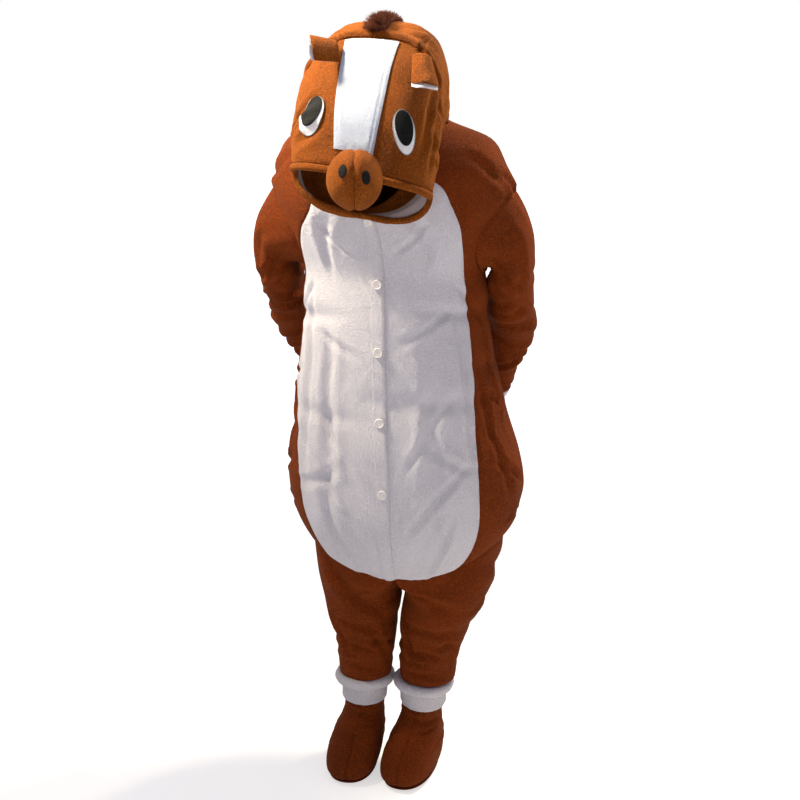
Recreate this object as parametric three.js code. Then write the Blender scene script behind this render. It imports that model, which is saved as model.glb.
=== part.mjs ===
// Horse onesie: an adult fleece suit with a horse-head hood, standing open and hollow in its worn pose.
// Millimetres. Heights in the tables are measured up from the soles; the finished group is lowered
// so that its origin is the middle of the shoulder line, where the wearer holds it up.
// +X is the wearer's left, -Y is the front, +Z is up.
import * as THREE from 'three';

// Driving sizes
const HOLD_HEIGHT = 1350;
const CLOTH = 2;
const SEAM_INSET = 0.2;
const ON_TOP = 0.3;
const PLACKET_LIFT = 0.8;
const PADDED = 4;
const BUTTON_RADIUS = 10;
const BUTTON_DEPTH = 4;
const PLACKET_HALF = 14;
const SOLE_THICK = 5;
const ROLL_RADIUS = 10;
const BINDING_RADIUS = 6;
const BINDING_GAP = 2;

// A table with named columns: each row becomes an object
const table = (columns, rows) => {
  const names = columns.split(' ');
  return rows.map((row) => Object.fromEntries(names.map((name, k) => [name, row[k]])));
};
const SECTION = 'at frontZ sideZ backZ half centreX frontY midY backY square';

// Finishes
const finish = (color, roughness) => new THREE.MeshStandardMaterial({ color, roughness, metalness: 0 });
const BROWN = finish(0xa85a1c, 0.95);
const WHITE = finish(0xe9e6e4, 0.95);
const LINING = finish(0xb9a3a0, 0.9);
const BUTTON = finish(0xe6e0d2, 0.4);
const MANE = finish(0x3a2216, 0.95);
const BLACK = finish(0x141210, 0.7);

// Small helpers
const rad = (degrees) => degrees * Math.PI / 180;
const mix = (a, b, t) => a + (b - a) * t;
const smooth = (t) => {
  const held = Math.min(1, Math.max(0, t));
  return held * held * (3 - 2 * held);
};
const curve = (value, exponent) => Math.sign(value) * Math.abs(value) ** exponent;
const steps = (from, to, count) => Array.from({ length: count + 1 }, (unused, i) => mix(from, to, i / count));

// A table's columns at any place between its rows, on a smooth curve through them
function rowAt(table, at) {
  const last = table.length - 1;
  let i = 0;
  while (i < last - 1 && at > table[i + 1].at) i += 1;
  const near = table[i];
  const far = table[i + 1];
  const span = far.at - near.at;
  const t = (at - near.at) / span;
  const before = table[Math.max(0, i - 1)];
  const after = table[Math.min(last, i + 2)];
  const row = {};
  for (const key of Object.keys(near)) {
    const startSlope = (far[key] - before[key]) / (far.at - before.at) * span;
    const endSlope = (after[key] - near[key]) / (after.at - near.at) * span;
    row[key] = (2 * t ** 3 - 3 * t ** 2 + 1) * near[key] + (t ** 3 - 2 * t ** 2 + t) * startSlope
      + (3 * t ** 2 - 2 * t ** 3) * far[key] + (t ** 3 - t ** 2) * endSlope;
  }
  return row;
}

// One closed ring of cloth: angle 0 is the front, 90 is +X, 180 is the back; rise says how
// its height swings from the sides to the front and back
function section(row, angle, rise = 2) {
  const across = Math.sin(rad(angle));
  const along = Math.cos(rad(angle));
  const bend = 2 / row.square;
  const endY = along > 0 ? row.frontY : row.backY;
  const endZ = along > 0 ? row.frontZ : row.backZ;
  return new THREE.Vector3(
    row.centreX + row.half * curve(across, bend),
    mix(row.midY, endY, Math.abs(along) ** bend),
    mix(row.sideZ, endZ, Math.abs(along) ** rise),
  );
}

// Outward direction of a surface, from its two slopes; turn is -1 where its places run downward
function outward(surface, angle, at, turn) {
  const stepAngle = 1.5;
  const stepAt = 0.006;
  const alongAngle = surface(angle + stepAngle, at).sub(surface(angle - stepAngle, at));
  const alongAt = surface(angle, at + stepAt).sub(surface(angle, at - stepAt));
  return alongAngle.cross(alongAt).normalize().multiplyScalar(turn);
}

// A surface with soft troughs (depth above zero) and ridges (below zero) pressed into it
function folded(surface, folds, turn) {
  return (angle, at) => {
    let depth = 0;
    for (const fold of folds) {
      const around = ((angle - fold.angle - fold.slope * (at - fold.at) + 540) % 360) - 180;
      const up = at - fold.at;
      depth += fold.depth * Math.exp(-((around / fold.wide) ** 2) - (up / fold.tall) ** 2);
    }
    const point = surface(angle, at);
    if (Math.abs(depth) < 0.05) return point;
    return point.addScaledVector(outward(surface, angle, at, turn), -depth);
  };
}

// Moves a point of a free edge in towards its neighbour by the seam's clearance
function insetEdge(point, neighbour, distance) {
  const way = neighbour.clone().sub(point);
  return point.clone().addScaledVector(way.normalize(), distance);
}

// A closed solid from two equal grids of points, the outer face and the inner face
function solidFromGrids(outer, inner, ringed) {
  const rows = outer.length;
  const columns = outer[0].length;
  const positions = [];
  for (const grid of [outer, inner]) {
    for (const line of grid) for (const p of line) positions.push(p.x, p.y, p.z);
  }
  const at = (face, i, j) => face * rows * columns + i * columns + (j % columns);
  const faces = [];
  const quad = (a, b, c, d) => faces.push(a, b, c, a, c, d);
  const spans = ringed ? columns : columns - 1;
  for (let i = 0; i < rows - 1; i += 1) {
    for (let j = 0; j < spans; j += 1) {
      quad(at(0, i, j), at(0, i, j + 1), at(0, i + 1, j + 1), at(0, i + 1, j));
      quad(at(1, i, j), at(1, i + 1, j), at(1, i + 1, j + 1), at(1, i, j + 1));
    }
    if (!ringed) {
      quad(at(0, i, 0), at(0, i + 1, 0), at(1, i + 1, 0), at(1, i, 0));
      quad(at(0, i, spans), at(1, i, spans), at(1, i + 1, spans), at(0, i + 1, spans));
    }
  }
  for (let j = 0; j < spans; j += 1) {
    quad(at(0, 0, j + 1), at(0, 0, j), at(1, 0, j), at(1, 0, j + 1));
    quad(at(0, rows - 1, j + 1), at(1, rows - 1, j + 1), at(1, rows - 1, j), at(0, rows - 1, j));
  }
  return closedGeometry(positions, faces);
}

// Turns the faces to point out, by the sign of the enclosed volume
function closedGeometry(positions, faces) {
  const p = (k) => new THREE.Vector3().fromArray(positions, 3 * k);
  let volume = 0;
  for (let f = 0; f < faces.length; f += 3) {
    volume += p(faces[f]).dot(p(faces[f + 1]).cross(p(faces[f + 2])));
  }
  if (volume < 0) faces.reverse();
  const geometry = new THREE.BufferGeometry();
  geometry.setAttribute('position', new THREE.Float32BufferAttribute(positions, 3));
  geometry.setIndex(faces);
  geometry.computeVertexNormals();
  return geometry;
}

// A cloth wall on a surface. rows are places up it, and angles gives the columns' angles at a place.
// outer and inner are how far its two faces lie from the surface.
function wall({ surface, rows, angles, ringed = false, turn = 1, outer = 0, inner = -CLOTH }) {
  const outerGrid = [];
  const innerGrid = [];
  for (const at of rows) {
    const outerLine = [];
    const innerLine = [];
    for (const angle of angles(at)) {
      const point = surface(angle, at);
      const normal = outward(surface, angle, at, turn);
      outerLine.push(point.clone().addScaledVector(normal, outer));
      innerLine.push(point.clone().addScaledVector(normal, inner));
    }
    outerGrid.push(outerLine);
    innerGrid.push(innerLine);
  }
  for (const grid of [outerGrid, innerGrid]) {
    const last = grid.length - 1;
    grid[0] = grid[0].map((p, j) => insetEdge(p, grid[1][j], SEAM_INSET));
    grid[last] = grid[last].map((p, j) => insetEdge(p, grid[last - 1][j], SEAM_INSET));
    if (ringed) continue;
    for (const line of grid) {
      const end = line.length - 1;
      const first = insetEdge(line[0], line[1], SEAM_INSET);
      line[end] = insetEdge(line[end], line[end - 1], SEAM_INSET);
      line[0] = first;
    }
  }
  return solidFromGrids(outerGrid, innerGrid, ringed);
}

// A closed round tube along a closed loop of points, its section squashed to width and height
function ringTube(centres, outDirections, upDirections, outRadius, upRadius, sides) {
  const positions = [];
  const faces = [];
  const count = centres.length;
  for (let i = 0; i < count; i += 1) {
    for (let k = 0; k < sides; k += 1) {
      const turn = 2 * Math.PI * k / sides;
      const p = centres[i].clone()
        .addScaledVector(outDirections[i], outRadius * Math.cos(turn))
        .addScaledVector(upDirections[i], upRadius * Math.sin(turn));
      positions.push(p.x, p.y, p.z);
    }
  }
  for (let i = 0; i < count; i += 1) {
    const next = (i + 1) % count;
    for (let k = 0; k < sides; k += 1) {
      const over = (k + 1) % sides;
      const a = i * sides + k;
      const b = next * sides + k;
      const c = next * sides + over;
      const d = i * sides + over;
      faces.push(a, b, c, a, c, d);
    }
  }
  return closedGeometry(positions, faces);
}

// A closed dome or disc: rings shrinking to a point on each face
function cappedRings(rings) {
  const positions = [];
  const faces = [];
  const sides = rings[0].length;
  for (const ring of rings) for (const p of ring) positions.push(p.x, p.y, p.z);
  for (let i = 0; i < rings.length - 1; i += 1) {
    for (let k = 0; k < sides; k += 1) {
      const over = (k + 1) % sides;
      const a = i * sides + k;
      const b = i * sides + over;
      faces.push(a, b, b + sides, a, b + sides, a + sides);
    }
  }
  const middle = (ring) => ring.reduce((sum, p) => sum.add(p), new THREE.Vector3()).divideScalar(sides);
  for (const [ring, start, way] of [[rings[0], 0, -1], [rings.at(-1), (rings.length - 1) * sides, 1]]) {
    const centre = middle(ring);
    const tip = positions.length / 3;
    positions.push(centre.x, centre.y, centre.z);
    for (let k = 0; k < sides; k += 1) {
      const a = start + k;
      const b = start + (k + 1) % sides;
      if (way > 0) faces.push(a, b, tip);
      else faces.push(b, a, tip);
    }
  }
  return closedGeometry(positions, faces);
}

const onesie = new THREE.Group();
function add(name, geometry, material) {
  const mesh = new THREE.Mesh(geometry, material);
  mesh.name = name;
  onesie.add(mesh);
}
const SIDES = [{ side: 'left', way: 1 }, { side: 'right', way: -1 }];
const roundAngles = (count) => steps(0, 360, count).slice(0, -1);

// Torso: one row for each section, from the bottom of the low baggy seat to the neck
const TORSO = table(SECTION, [
  [0.00, 464, 546, 470, 210, 40, -108, 4, 118, 2.2],
  [0.05, 478, 578, 504, 236, 39, -146, 4, 152, 2.2],
  [0.14, 556, 634, 590, 251, 37, -174, 4, 172, 2.2],
  [0.27, 690, 715, 700, 246, 33, -176, 2, 164, 2.2],
  [0.40, 812, 818, 812, 222, 25, -163, 0, 134, 2.3],
  [0.54, 950, 930, 945, 203, 18, -147, 0, 100, 2.2],
  [0.66, 1050, 1036, 1070, 191, 13, -135, 2, 94, 2.1],
  [0.73, 1092, 1100, 1135, 190, 11, -130, 6, 100, 2.1],
  [0.80, 1130, 1182, 1205, 220, 8, -132, 12, 108, 2.1],
  [0.87, 1166, 1260, 1275, 250, 5, -138, 14, 112, 2],
  [0.92, 1194, 1306, 1328, 238, 0, -146, 12, 108, 2],
  [0.96, 1214, 1360, 1374, 207, -1, -152, 4, 98, 2],
  [1.00, 1232, 1390, 1416, 126, 0, -158, -30, 70, 2],
]);
// The armhole is an oval in the side of the torso
const ARMHOLE = { low: 0.73, high: 0.87, spread: 31, rounds: 7 };
// Angle of the white belly panel's edge at each place up the torso, and how far the panel is
// pulled round to the wearer's right there
const BELLY_EDGE = table('at angle twist', [
  [0.00, 23, 0],
  [0.03, 33, 0],
  [0.08, 40, 1],
  [0.14, 45.6, -0.4],
  [0.27, 49.4, -2],
  [0.40, 58, -5.8],
  [0.54, 65, -7.2],
  [0.66, 67, -6.2],
  [0.73, 62, -4.4],
  [0.80, 48.5, -1.5],
  [0.87, 38.5, 1.5],
  [0.92, 36.2, 3.4],
  [1.00, 37, 3.6],
]);
// The torso's largest folds: angles in degrees, heights as places, depth in millimetres
const TORSO_FOLDS = [
  { angle: 52, at: 0.64, wide: 26, tall: 0.016, depth: 7, slope: -60 },
  { angle: -50, at: 0.62, wide: 24, tall: 0.016, depth: 7, slope: 60 },
  { angle: 30, at: 0.44, wide: 30, tall: 0.020, depth: 6, slope: 90 },
  { angle: -34, at: 0.40, wide: 26, tall: 0.018, depth: 6, slope: -80 },
  { angle: 74, at: 0.52, wide: 16, tall: 0.018, depth: 6, slope: 40 },
  { angle: 70, at: 0.36, wide: 18, tall: 0.022, depth: 7, slope: 60 },
  { angle: -72, at: 0.34, wide: 18, tall: 0.022, depth: 7, slope: -60 },
  { angle: 12, at: 0.10, wide: 9, tall: 0.10, depth: 6, slope: 70 },
  { angle: -16, at: 0.12, wide: 9, tall: 0.10, depth: 6, slope: -60 },
  { angle: 100, at: 0.10, wide: 16, tall: 0.04, depth: 8, slope: 120 },
  { angle: -98, at: 0.10, wide: 16, tall: 0.04, depth: 8, slope: -120 },
  { angle: 150, at: 0.30, wide: 26, tall: 0.03, depth: 9, slope: -80 },
  { angle: -148, at: 0.32, wide: 26, tall: 0.03, depth: 9, slope: 80 },
  { angle: 166, at: 0.58, wide: 22, tall: 0.02, depth: 7, slope: -50 },
  { angle: -160, at: 0.62, wide: 22, tall: 0.02, depth: 7, slope: 50 },
  { angle: 140, at: 0.84, wide: 12, tall: 0.05, depth: 6, slope: 90 },
  { angle: -140, at: 0.84, wide: 12, tall: 0.05, depth: 6, slope: -90 },
];

const plainTorso = (angle, at) => section(rowAt(TORSO, at), angle);
const torso = folded(plainTorso, TORSO_FOLDS, 1);
const bellyEdge = (at, way) => {
  const row = rowAt(BELLY_EDGE, at);
  return way * row.angle + row.twist;
};

// How far the armhole opens to each side of the side seam at a place up the torso
function armholeSpread(at) {
  const middle = (ARMHOLE.low + ARMHOLE.high) / 2;
  const reach = (ARMHOLE.high - ARMHOLE.low) / 2;
  const off = (at - middle) / reach;
  return Math.abs(off) >= 1 ? 0 : ARMHOLE.spread * Math.sqrt(1 - off * off);
}
// A point of the armhole's edge: turn 0 is the armpit, 90 the front, 180 the top, 270 the back
function armholeEdge(turn, way) {
  const middle = (ARMHOLE.low + ARMHOLE.high) / 2;
  const reach = (ARMHOLE.high - ARMHOLE.low) / 2;
  const at = middle - reach * Math.cos(rad(turn));
  const angle = 90 - ARMHOLE.spread * Math.sin(rad(turn));
  return torso(way * angle, at);
}

const armholeRows = steps(0, 180, ARMHOLE.rounds)
  .map((turn) => mix(ARMHOLE.low, ARMHOLE.high, (1 - Math.cos(rad(turn))) / 2));
const TORSO_ROWS = [0, 0.03, 0.07, 0.12, 0.18, 0.25, 0.32, 0.39, 0.46, 0.53, 0.60, 0.64, 0.68,
  ...armholeRows, 0.90, 0.93, 0.965, 1];

// The columns of the torso's three panels on one side, from the front middle to the back middle
const BELLY_COLUMNS = 5;
const SIDE_COLUMNS = 3;
const BACK_COLUMNS = 8;
const bellyAngles = (way) => (at) => steps(0, bellyEdge(at, way), BELLY_COLUMNS);
const sideAngles = (way) => (at) => steps(bellyEdge(at, way), way * (90 - armholeSpread(at)), SIDE_COLUMNS);
const backAngles = (way) => (at) => steps(way * (90 + armholeSpread(at)), way * 180, BACK_COLUMNS);
const halfAngles = (at, way) => [
  ...bellyAngles(way)(at).slice(0, -1),
  ...sideAngles(way)(at).slice(0, -1),
  ...backAngles(way)(at),
];

for (const { side, way } of SIDES) {
  add(`belly_${side}`, wall({ surface: torso, rows: TORSO_ROWS, angles: bellyAngles(way) }), WHITE);
  add(`side_${side}`, wall({ surface: torso, rows: TORSO_ROWS, angles: sideAngles(way) }), BROWN);
  add(`back_${side}`, wall({ surface: torso, rows: TORSO_ROWS, angles: backAngles(way) }), BROWN);
}

// Placket: a narrow strip on the belly's middle seam, ending in a point
const PLACKET_TIP = 0.012;
const PLACKET_POINTED = 0.05;
const PLACKET_ROWS = [PLACKET_TIP, 0.03, PLACKET_POINTED, ...TORSO_ROWS.slice(2, -1), 0.992];
const placketHalf = (at) => {
  const widened = mix(0.25, 1, (at - PLACKET_TIP) / (PLACKET_POINTED - PLACKET_TIP));
  return PLACKET_HALF * Math.min(1, widened);
};
const placketAngle = (at) => {
  const row = rowAt(TORSO, at);
  return Math.asin((placketHalf(at) / row.half) ** (row.square / 2)) * 180 / Math.PI;
};
add('placket', wall({
  surface: torso,
  rows: PLACKET_ROWS,
  angles: (at) => steps(-placketAngle(at), placketAngle(at), 2),
  outer: PLACKET_LIFT + CLOTH,
  inner: PLACKET_LIFT,
}), WHITE);

// Buttons: round, with a raised rim, standing on the placket
const BUTTON_HEIGHTS = [1206, 1082, 950, 812, 668];
const BUTTON_SIDES = 14;
function placeAtHeight(height) {
  let low = 0;
  let high = 1;
  for (let i = 0; i < 30; i += 1) {
    const middle = (low + high) / 2;
    if (torso(0, middle).z < height) low = middle;
    else high = middle;
  }
  return low;
}
BUTTON_HEIGHTS.forEach((height, index) => {
  const at = placeAtHeight(height);
  const normal = outward(torso, 0, at, 1);
  const base = torso(0, at).addScaledVector(normal, PLACKET_LIFT + CLOTH + 2 * ON_TOP);
  const across = new THREE.Vector3(1, 0, 0).addScaledVector(normal, -normal.x).normalize();
  const up = normal.clone().cross(across);
  const ring = (radius, lift) => steps(0, 360, BUTTON_SIDES).slice(0, -1).map((turn) => base.clone()
    .addScaledVector(across, radius * Math.cos(rad(turn)))
    .addScaledVector(up, radius * Math.sin(rad(turn)))
    .addScaledVector(normal, lift));
  add(`button_${index + 1}`, cappedRings([
    ring(BUTTON_RADIUS - 1.5, 0),
    ring(BUTTON_RADIUS, BUTTON_DEPTH * 0.45),
    ring(BUTTON_RADIUS - 1.5, BUTTON_DEPTH),
    ring(BUTTON_RADIUS - 4, BUTTON_DEPTH * 0.7),
  ]), BUTTON);
});

// Sleeves: one row for each section of the wearer's left one; lean tips the section's long way up,
// swing turns the section back as the forearm goes behind the body. Past 1 is the wrist cuff.
const SLEEVE = table('at x y z wide deep lean swing', [
  [0.00, 222, 10, 1182, 86, 62, 70, 0],
  [0.12, 248, 18, 1142, 59, 62, 44, 4],
  [0.25, 251, 30, 1092, 43, 60, 12, 12],
  [0.40, 241, 60, 1036, 50, 55, 0, 24],
  [0.56, 238, 108, 978, 54, 50, -12, 36],
  [0.78, 207, 160, 900, 48, 45, -22, 40],
  [1.00, 188, 202, 830, 38, 37, -24, 38],
  [1.07, 180, 216, 812, 37, 36, -24, 38],
]);
const SLEEVE_JOIN = 0.12;
const SLEEVE_FOLDS = [
  { angle: 90, at: 0.16, wide: 40, tall: 0.030, depth: 5, slope: 160 },
  { angle: 60, at: 0.36, wide: 50, tall: 0.022, depth: 5, slope: -80 },
  { angle: 150, at: 0.46, wide: 60, tall: 0.022, depth: 6, slope: 60 },
  { angle: 110, at: 0.58, wide: 60, tall: 0.024, depth: 6, slope: -90 },
  { angle: 230, at: 0.66, wide: 60, tall: 0.026, depth: 5, slope: 60 },
  { angle: 160, at: 0.80, wide: 60, tall: 0.024, depth: 4, slope: 90 },
];
const SLEEVE_ROWS = [0, 0.045, 0.10, 0.17, 0.25, 0.33, 0.41, 0.49, 0.57, 0.67, 0.78, 0.89, 1];
const sleeveAngles = () => roundAngles(2 * ARMHOLE.rounds);

function sleeveSection(turn, at, way) {
  const row = rowAt(SLEEVE, at);
  const out = new THREE.Vector3(way * Math.cos(rad(row.lean)), 0, Math.sin(rad(row.lean)));
  const front = new THREE.Vector3(0, -Math.cos(rad(row.swing)), -Math.sin(rad(row.swing)));
  return new THREE.Vector3(way * row.x, row.y, row.z)
    .addScaledVector(out, -row.wide * Math.cos(rad(turn)))
    .addScaledVector(front, row.deep * Math.sin(rad(turn)));
}
for (const { side, way } of SIDES) {
  const plainSleeve = (turn, at) => {
    const point = sleeveSection(turn, at, way);
    const held = 1 - smooth(at / SLEEVE_JOIN);
    if (held === 0) return point;
    const pull = armholeEdge(turn, way).sub(sleeveSection(turn, 0, way));
    return point.addScaledVector(pull, held);
  };
  const sleeve = folded(plainSleeve, SLEEVE_FOLDS, -way);
  add(`sleeve_${side}`, wall({
    surface: sleeve, rows: SLEEVE_ROWS, angles: sleeveAngles, ringed: true, turn: -way,
  }), BROWN);
  add(`wrist_cuff_${side}`, wall({
    surface: sleeve, rows: [1, 1.07], angles: sleeveAngles, ringed: true, turn: -way, outer: 1,
  }), WHITE);
}

// Legs: one row for each section of each leg, from the hem up to the seat
const LEGS = {
  left: [
    { at: 0.00, x: 93, y: -22, z: 208.8, half: 60, deep: 58 },
    { at: 0.25, x: 98, y: -20, z: 284, half: 68, deep: 66 },
    { at: 0.50, x: 114, y: -16, z: 350, half: 80, deep: 78 },
    { at: 0.75, x: 137, y: -8, z: 425, half: 94, deep: 96 },
    { at: 1.00, x: 145, y: 5, z: 488, half: 104, deep: 113 },
  ],
  right: [
    { at: 0.00, x: -46, y: -26, z: 206.6, half: 57, deep: 58 },
    { at: 0.25, x: -47, y: -24, z: 284, half: 66, deep: 66 },
    { at: 0.50, x: -52, y: -18, z: 350, half: 79, deep: 78 },
    { at: 0.75, x: -61, y: -8, z: 425, half: 94, deep: 96 },
    { at: 1.00, x: -64, y: 5, z: 488, half: 104, deep: 113 },
  ],
};
const LEG_JOIN = 0.62;
const CROTCH_GAP = 0.6;
const CROTCH_COLUMNS = 6;
const CUFF_COLUMNS = 16;
const leftLegAngles = [...halfAngles(0, 1), ...steps(180, 360, CROTCH_COLUMNS).slice(1, -1)];
const legAngles = (way) => (way > 0 ? leftLegAngles : leftLegAngles.map((angle) => -angle));
const LEG_ROWS = [0, 0.13, 0.26, 0.39, 0.52, 0.66, 0.8, 0.9, 1];
const LEG_FOLDS = [
  { angle: 20, at: 0.12, wide: 70, tall: 0.05, depth: 5, slope: 60 },
  { angle: 300, at: 0.30, wide: 60, tall: 0.05, depth: 5, slope: -90 },
  { angle: 60, at: 0.46, wide: 60, tall: 0.05, depth: 6, slope: 80 },
  { angle: 180, at: 0.36, wide: 60, tall: 0.06, depth: 6, slope: 60 },
  { angle: 350, at: 0.66, wide: 50, tall: 0.06, depth: 6, slope: -70 },
  { angle: 120, at: 0.70, wide: 50, tall: 0.06, depth: 6, slope: 70 },
];
// The top edge of a leg: half of the seat's bottom ring, closed by the crotch line
function legTop(angle, way) {
  const round = ((way * angle) % 360 + 360) % 360;
  if (round <= 180) {
    const point = torso(way * round, 0);
    const clear = point.x * way - TORSO[0].centreX * way;
    if (clear < CROTCH_GAP) point.x = TORSO[0].centreX + way * CROTCH_GAP;
    return point;
  }
  const along = (1 - Math.cos(rad(round - 180))) / 2;
  return torso(180, 0).lerp(torso(0, 0), along).setX(TORSO[0].centreX + way * CROTCH_GAP);
}
function legSection(angle, at, side) {
  const row = rowAt(LEGS[side], at);
  return new THREE.Vector3(
    row.x + row.half * Math.sin(rad(angle)),
    row.y - row.deep * Math.cos(rad(angle)),
    row.z,
  );
}
for (const { side, way } of SIDES) {
  const plainLeg = (angle, at) => {
    const point = legSection(angle, at, side);
    const held = smooth((at - LEG_JOIN) / (1 - LEG_JOIN));
    if (held === 0) return point;
    const pull = legTop(angle, way).sub(legSection(angle, 1, side));
    return point.addScaledVector(pull, held);
  };
  const leg = folded(plainLeg, LEG_FOLDS, 1);
  add(`leg_${side}`, wall({
    surface: leg, rows: LEG_ROWS, angles: () => legAngles(way), ringed: true,
  }), BROWN);
}

// Ankle cuffs: a fat roll over a lower band
const CUFFS = {
  left: { x: 84, y: -22, tilt: 3 },
  right: { x: -48, y: -26, tilt: 1 },
};
const CUFF = { rollZ: 196, half: 55, deep: 58, bandTop: 185.6, bandLow: 146.1, bandHalf: 49, bandDeep: 54 };
for (const { side } of SIDES) {
  const place = CUFFS[side];
  const slope = Math.tan(rad(place.tilt));
  const cuffPoint = (angle, half, deep, z) => new THREE.Vector3(
    place.x + half * Math.sin(rad(angle)),
    place.y - deep * Math.cos(rad(angle)),
    z - slope * half * Math.sin(rad(angle)),
  );
  const angles = roundAngles(CUFF_COLUMNS);
  const out = angles.map((a) => new THREE.Vector3(Math.sin(rad(a)), -Math.cos(rad(a)), 0));
  const up = angles.map(() => new THREE.Vector3(0, 0, 1));
  const centres = angles.map((a) => cuffPoint(a, CUFF.half, CUFF.deep, CUFF.rollZ - slope * 4));
  add(`leg_roll_${side}`, ringTube(centres, out, up, ROLL_RADIUS, ROLL_RADIUS, 7), WHITE);
  const band = (angle, at) => cuffPoint(
    angle,
    CUFF.bandHalf - 2 * (1 - at),
    CUFF.bandDeep - 2 * (1 - at),
    mix(CUFF.bandLow, CUFF.bandTop, at),
  );
  add(`leg_band_${side}`, wall({
    surface: band, rows: [0, 0.5, 1], angles: () => angles, ringed: true, outer: 2, inner: -3,
  }), WHITE);
}

// Foot covers: one row for each section of the left one, toe at the front
const BOOT = table(SECTION, [
  [0.00, 5.5, 5.5, 5.5, 50, 0, -128, -40, 74, 2.3],
  [0.12, 20, 20, 20, 57, 0, -142, -42, 82, 2.4],
  [0.32, 52, 48, 48, 58, 0, -132, -40, 82, 2.4],
  [0.55, 88, 82, 80, 53, 0, -92, -20, 72, 2.2],
  [0.78, 114, 112, 112, 46, 0, -60, 0, 60, 2],
  [1.00, 145.5, 145.5, 145.5, 43, 0, -48, 0, 50, 2],
]);
const BOOT_FOLDS = [
  { angle: 0, at: 0.62, wide: 60, tall: 0.05, depth: 5, slope: 0 },
  { angle: 20, at: 0.84, wide: 80, tall: 0.05, depth: 4, slope: 90 },
  { angle: 180, at: 0.70, wide: 60, tall: 0.06, depth: 4, slope: 0 },
];
const BOOTS = {
  left: { x: 69, y: -24, turn: -4, lean: 12 },
  right: { x: -67, y: -28, turn: 6, lean: 19 },
};
const BOOT_ROWS = [0, 0.06, 0.15, 0.27, 0.42, 0.58, 0.72, 0.86, 1];
for (const { side, way } of SIDES) {
  const place = BOOTS[side];
  const boot = folded((angle, at) => {
    const point = section(rowAt(BOOT, at), angle);
    point.applyAxisAngle(new THREE.Vector3(0, 0, 1), rad(place.turn));
    point.x += place.x + place.lean * smooth(at);
    point.y += place.y;
    return point;
  }, BOOT_FOLDS, 1);
  const halves = { outer: way, inner: -way };
  for (const [half, direction] of Object.entries(halves)) {
    add(`boot_${side}_${half}`, wall({
      surface: boot,
      rows: BOOT_ROWS,
      angles: () => steps(0, direction * 180, 8),
      inner: -2.5,
    }), BROWN);
  }
  const outline = (grow, z) => roundAngles(20).map((angle) => {
    const point = boot(angle, 0);
    const centre = new THREE.Vector3(place.x, place.y - 30, point.z);
    const spoke = point.clone().sub(centre);
    return centre.addScaledVector(spoke, 1 + grow / spoke.length()).setZ(z);
  });
  const layers = [outline(0, 0), outline(2, SOLE_THICK / 2), outline(2, SOLE_THICK)];
  add(`sole_${side}`, cappedRings(layers), BROWN);
}

// Hood: one row for each section, fanned round the chin from the neck seam to the face opening;
// the front column is the chin's edge and the back column is the outline over the nape and crown
const HOOD = table(SECTION, [
  [0.00, 1232, 1390, 1416, 126, 0, -158, -30, 70, 2],
  [0.10, 1231, 1402, 1448, 130, -2, -164, -44, 88, 2.1],
  [0.25, 1228, 1402, 1496, 135, -6, -172, -62, 94, 2.3],
  [0.40, 1224, 1400, 1550, 137, -9, -180, -82, 62, 2.5],
  [0.54, 1222, 1394, 1580, 139, -10, -186, -104, -12, 2.8],
  [0.66, 1220, 1384, 1566, 140, -10, -190, -124, -96, 2.8],
  [0.78, 1219, 1364, 1506, 141, -7, -194, -146, -168, 2.7],
  [0.90, 1219, 1331, 1410, 139, -3, -198, -170, -230, 2.5],
  [1.00, 1221, 1290, 1312, 134, 0, -202, -192, -264, 2.3],
]);
const HOOD_JOIN = 0.1;
const HOOD_ROUNDED = 0.3;
const EAR_SEAM = 0.71;
const HOOD_ROLL = 3;
const HOOD_ROLLED = 0.66;
const BRIM_TILT = 15;
const BRIM_FROM = 0.84;
const HOOD_PIVOT = new THREE.Vector3(0, -40, 1300);
const HOOD_FOLDS = [
  { angle: 140, at: 0.16, wide: 40, tall: 0.03, depth: 6, slope: 60 },
  { angle: 220, at: 0.18, wide: 40, tall: 0.03, depth: 6, slope: -60 },
  { angle: 100, at: 0.30, wide: 22, tall: 0.06, depth: 5, slope: 60 },
  { angle: 260, at: 0.30, wide: 22, tall: 0.06, depth: 5, slope: -60 },
];
const plainHood = (angle, at) => {
  const row = rowAt(HOOD, at);
  const point = section(row, angle, mix(2, 2 / row.square, smooth(at / HOOD_ROUNDED)));
  const held = 1 - smooth(at / HOOD_JOIN);
  if (held > 0) {
    point.addScaledVector(torso(angle, 1).sub(section(HOOD[0], angle)), held);
  }
  point.z -= BRIM_TILT * (point.x / row.half) * smooth((at - BRIM_FROM) / (1 - BRIM_FROM));
  const roll = rad(HOOD_ROLL) * smooth(at / HOOD_ROLLED);
  return point.sub(HOOD_PIVOT).applyAxisAngle(new THREE.Vector3(0, 1, 0), roll).add(HOOD_PIVOT);
};
const hood = folded(plainHood, HOOD_FOLDS, 1);
const HOOD_BACK_ROWS = [0, 0.05, 0.11, 0.18, 0.25, 0.33, 0.41, 0.49, 0.57, 0.64, EAR_SEAM];
const HOOD_FACE_ROWS = [EAR_SEAM, 0.76, 0.81, 0.86, 0.91, 0.96, 0.985, 1];
const LINING_ROWS = [0.57, EAR_SEAM, 0.81, 0.86, 0.91, 0.96, 0.985];
const LINING_GAP = 1;
const FACE_TOP = 2;
const rightAngles = halfAngles(1, -1).slice(1, -1).reverse().map((angle) => angle + 360);
const hoodAngles = [...halfAngles(1, 1), ...rightAngles];
for (const { side, way } of SIDES) {
  add(`hood_back_${side}`, wall({
    surface: hood, rows: HOOD_BACK_ROWS, angles: () => halfAngles(1, way),
  }), BROWN);
  add(`hood_face_${side}`, wall({
    surface: hood, rows: HOOD_FACE_ROWS, angles: () => halfAngles(1, way), outer: FACE_TOP,
  }), BROWN);
}
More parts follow.
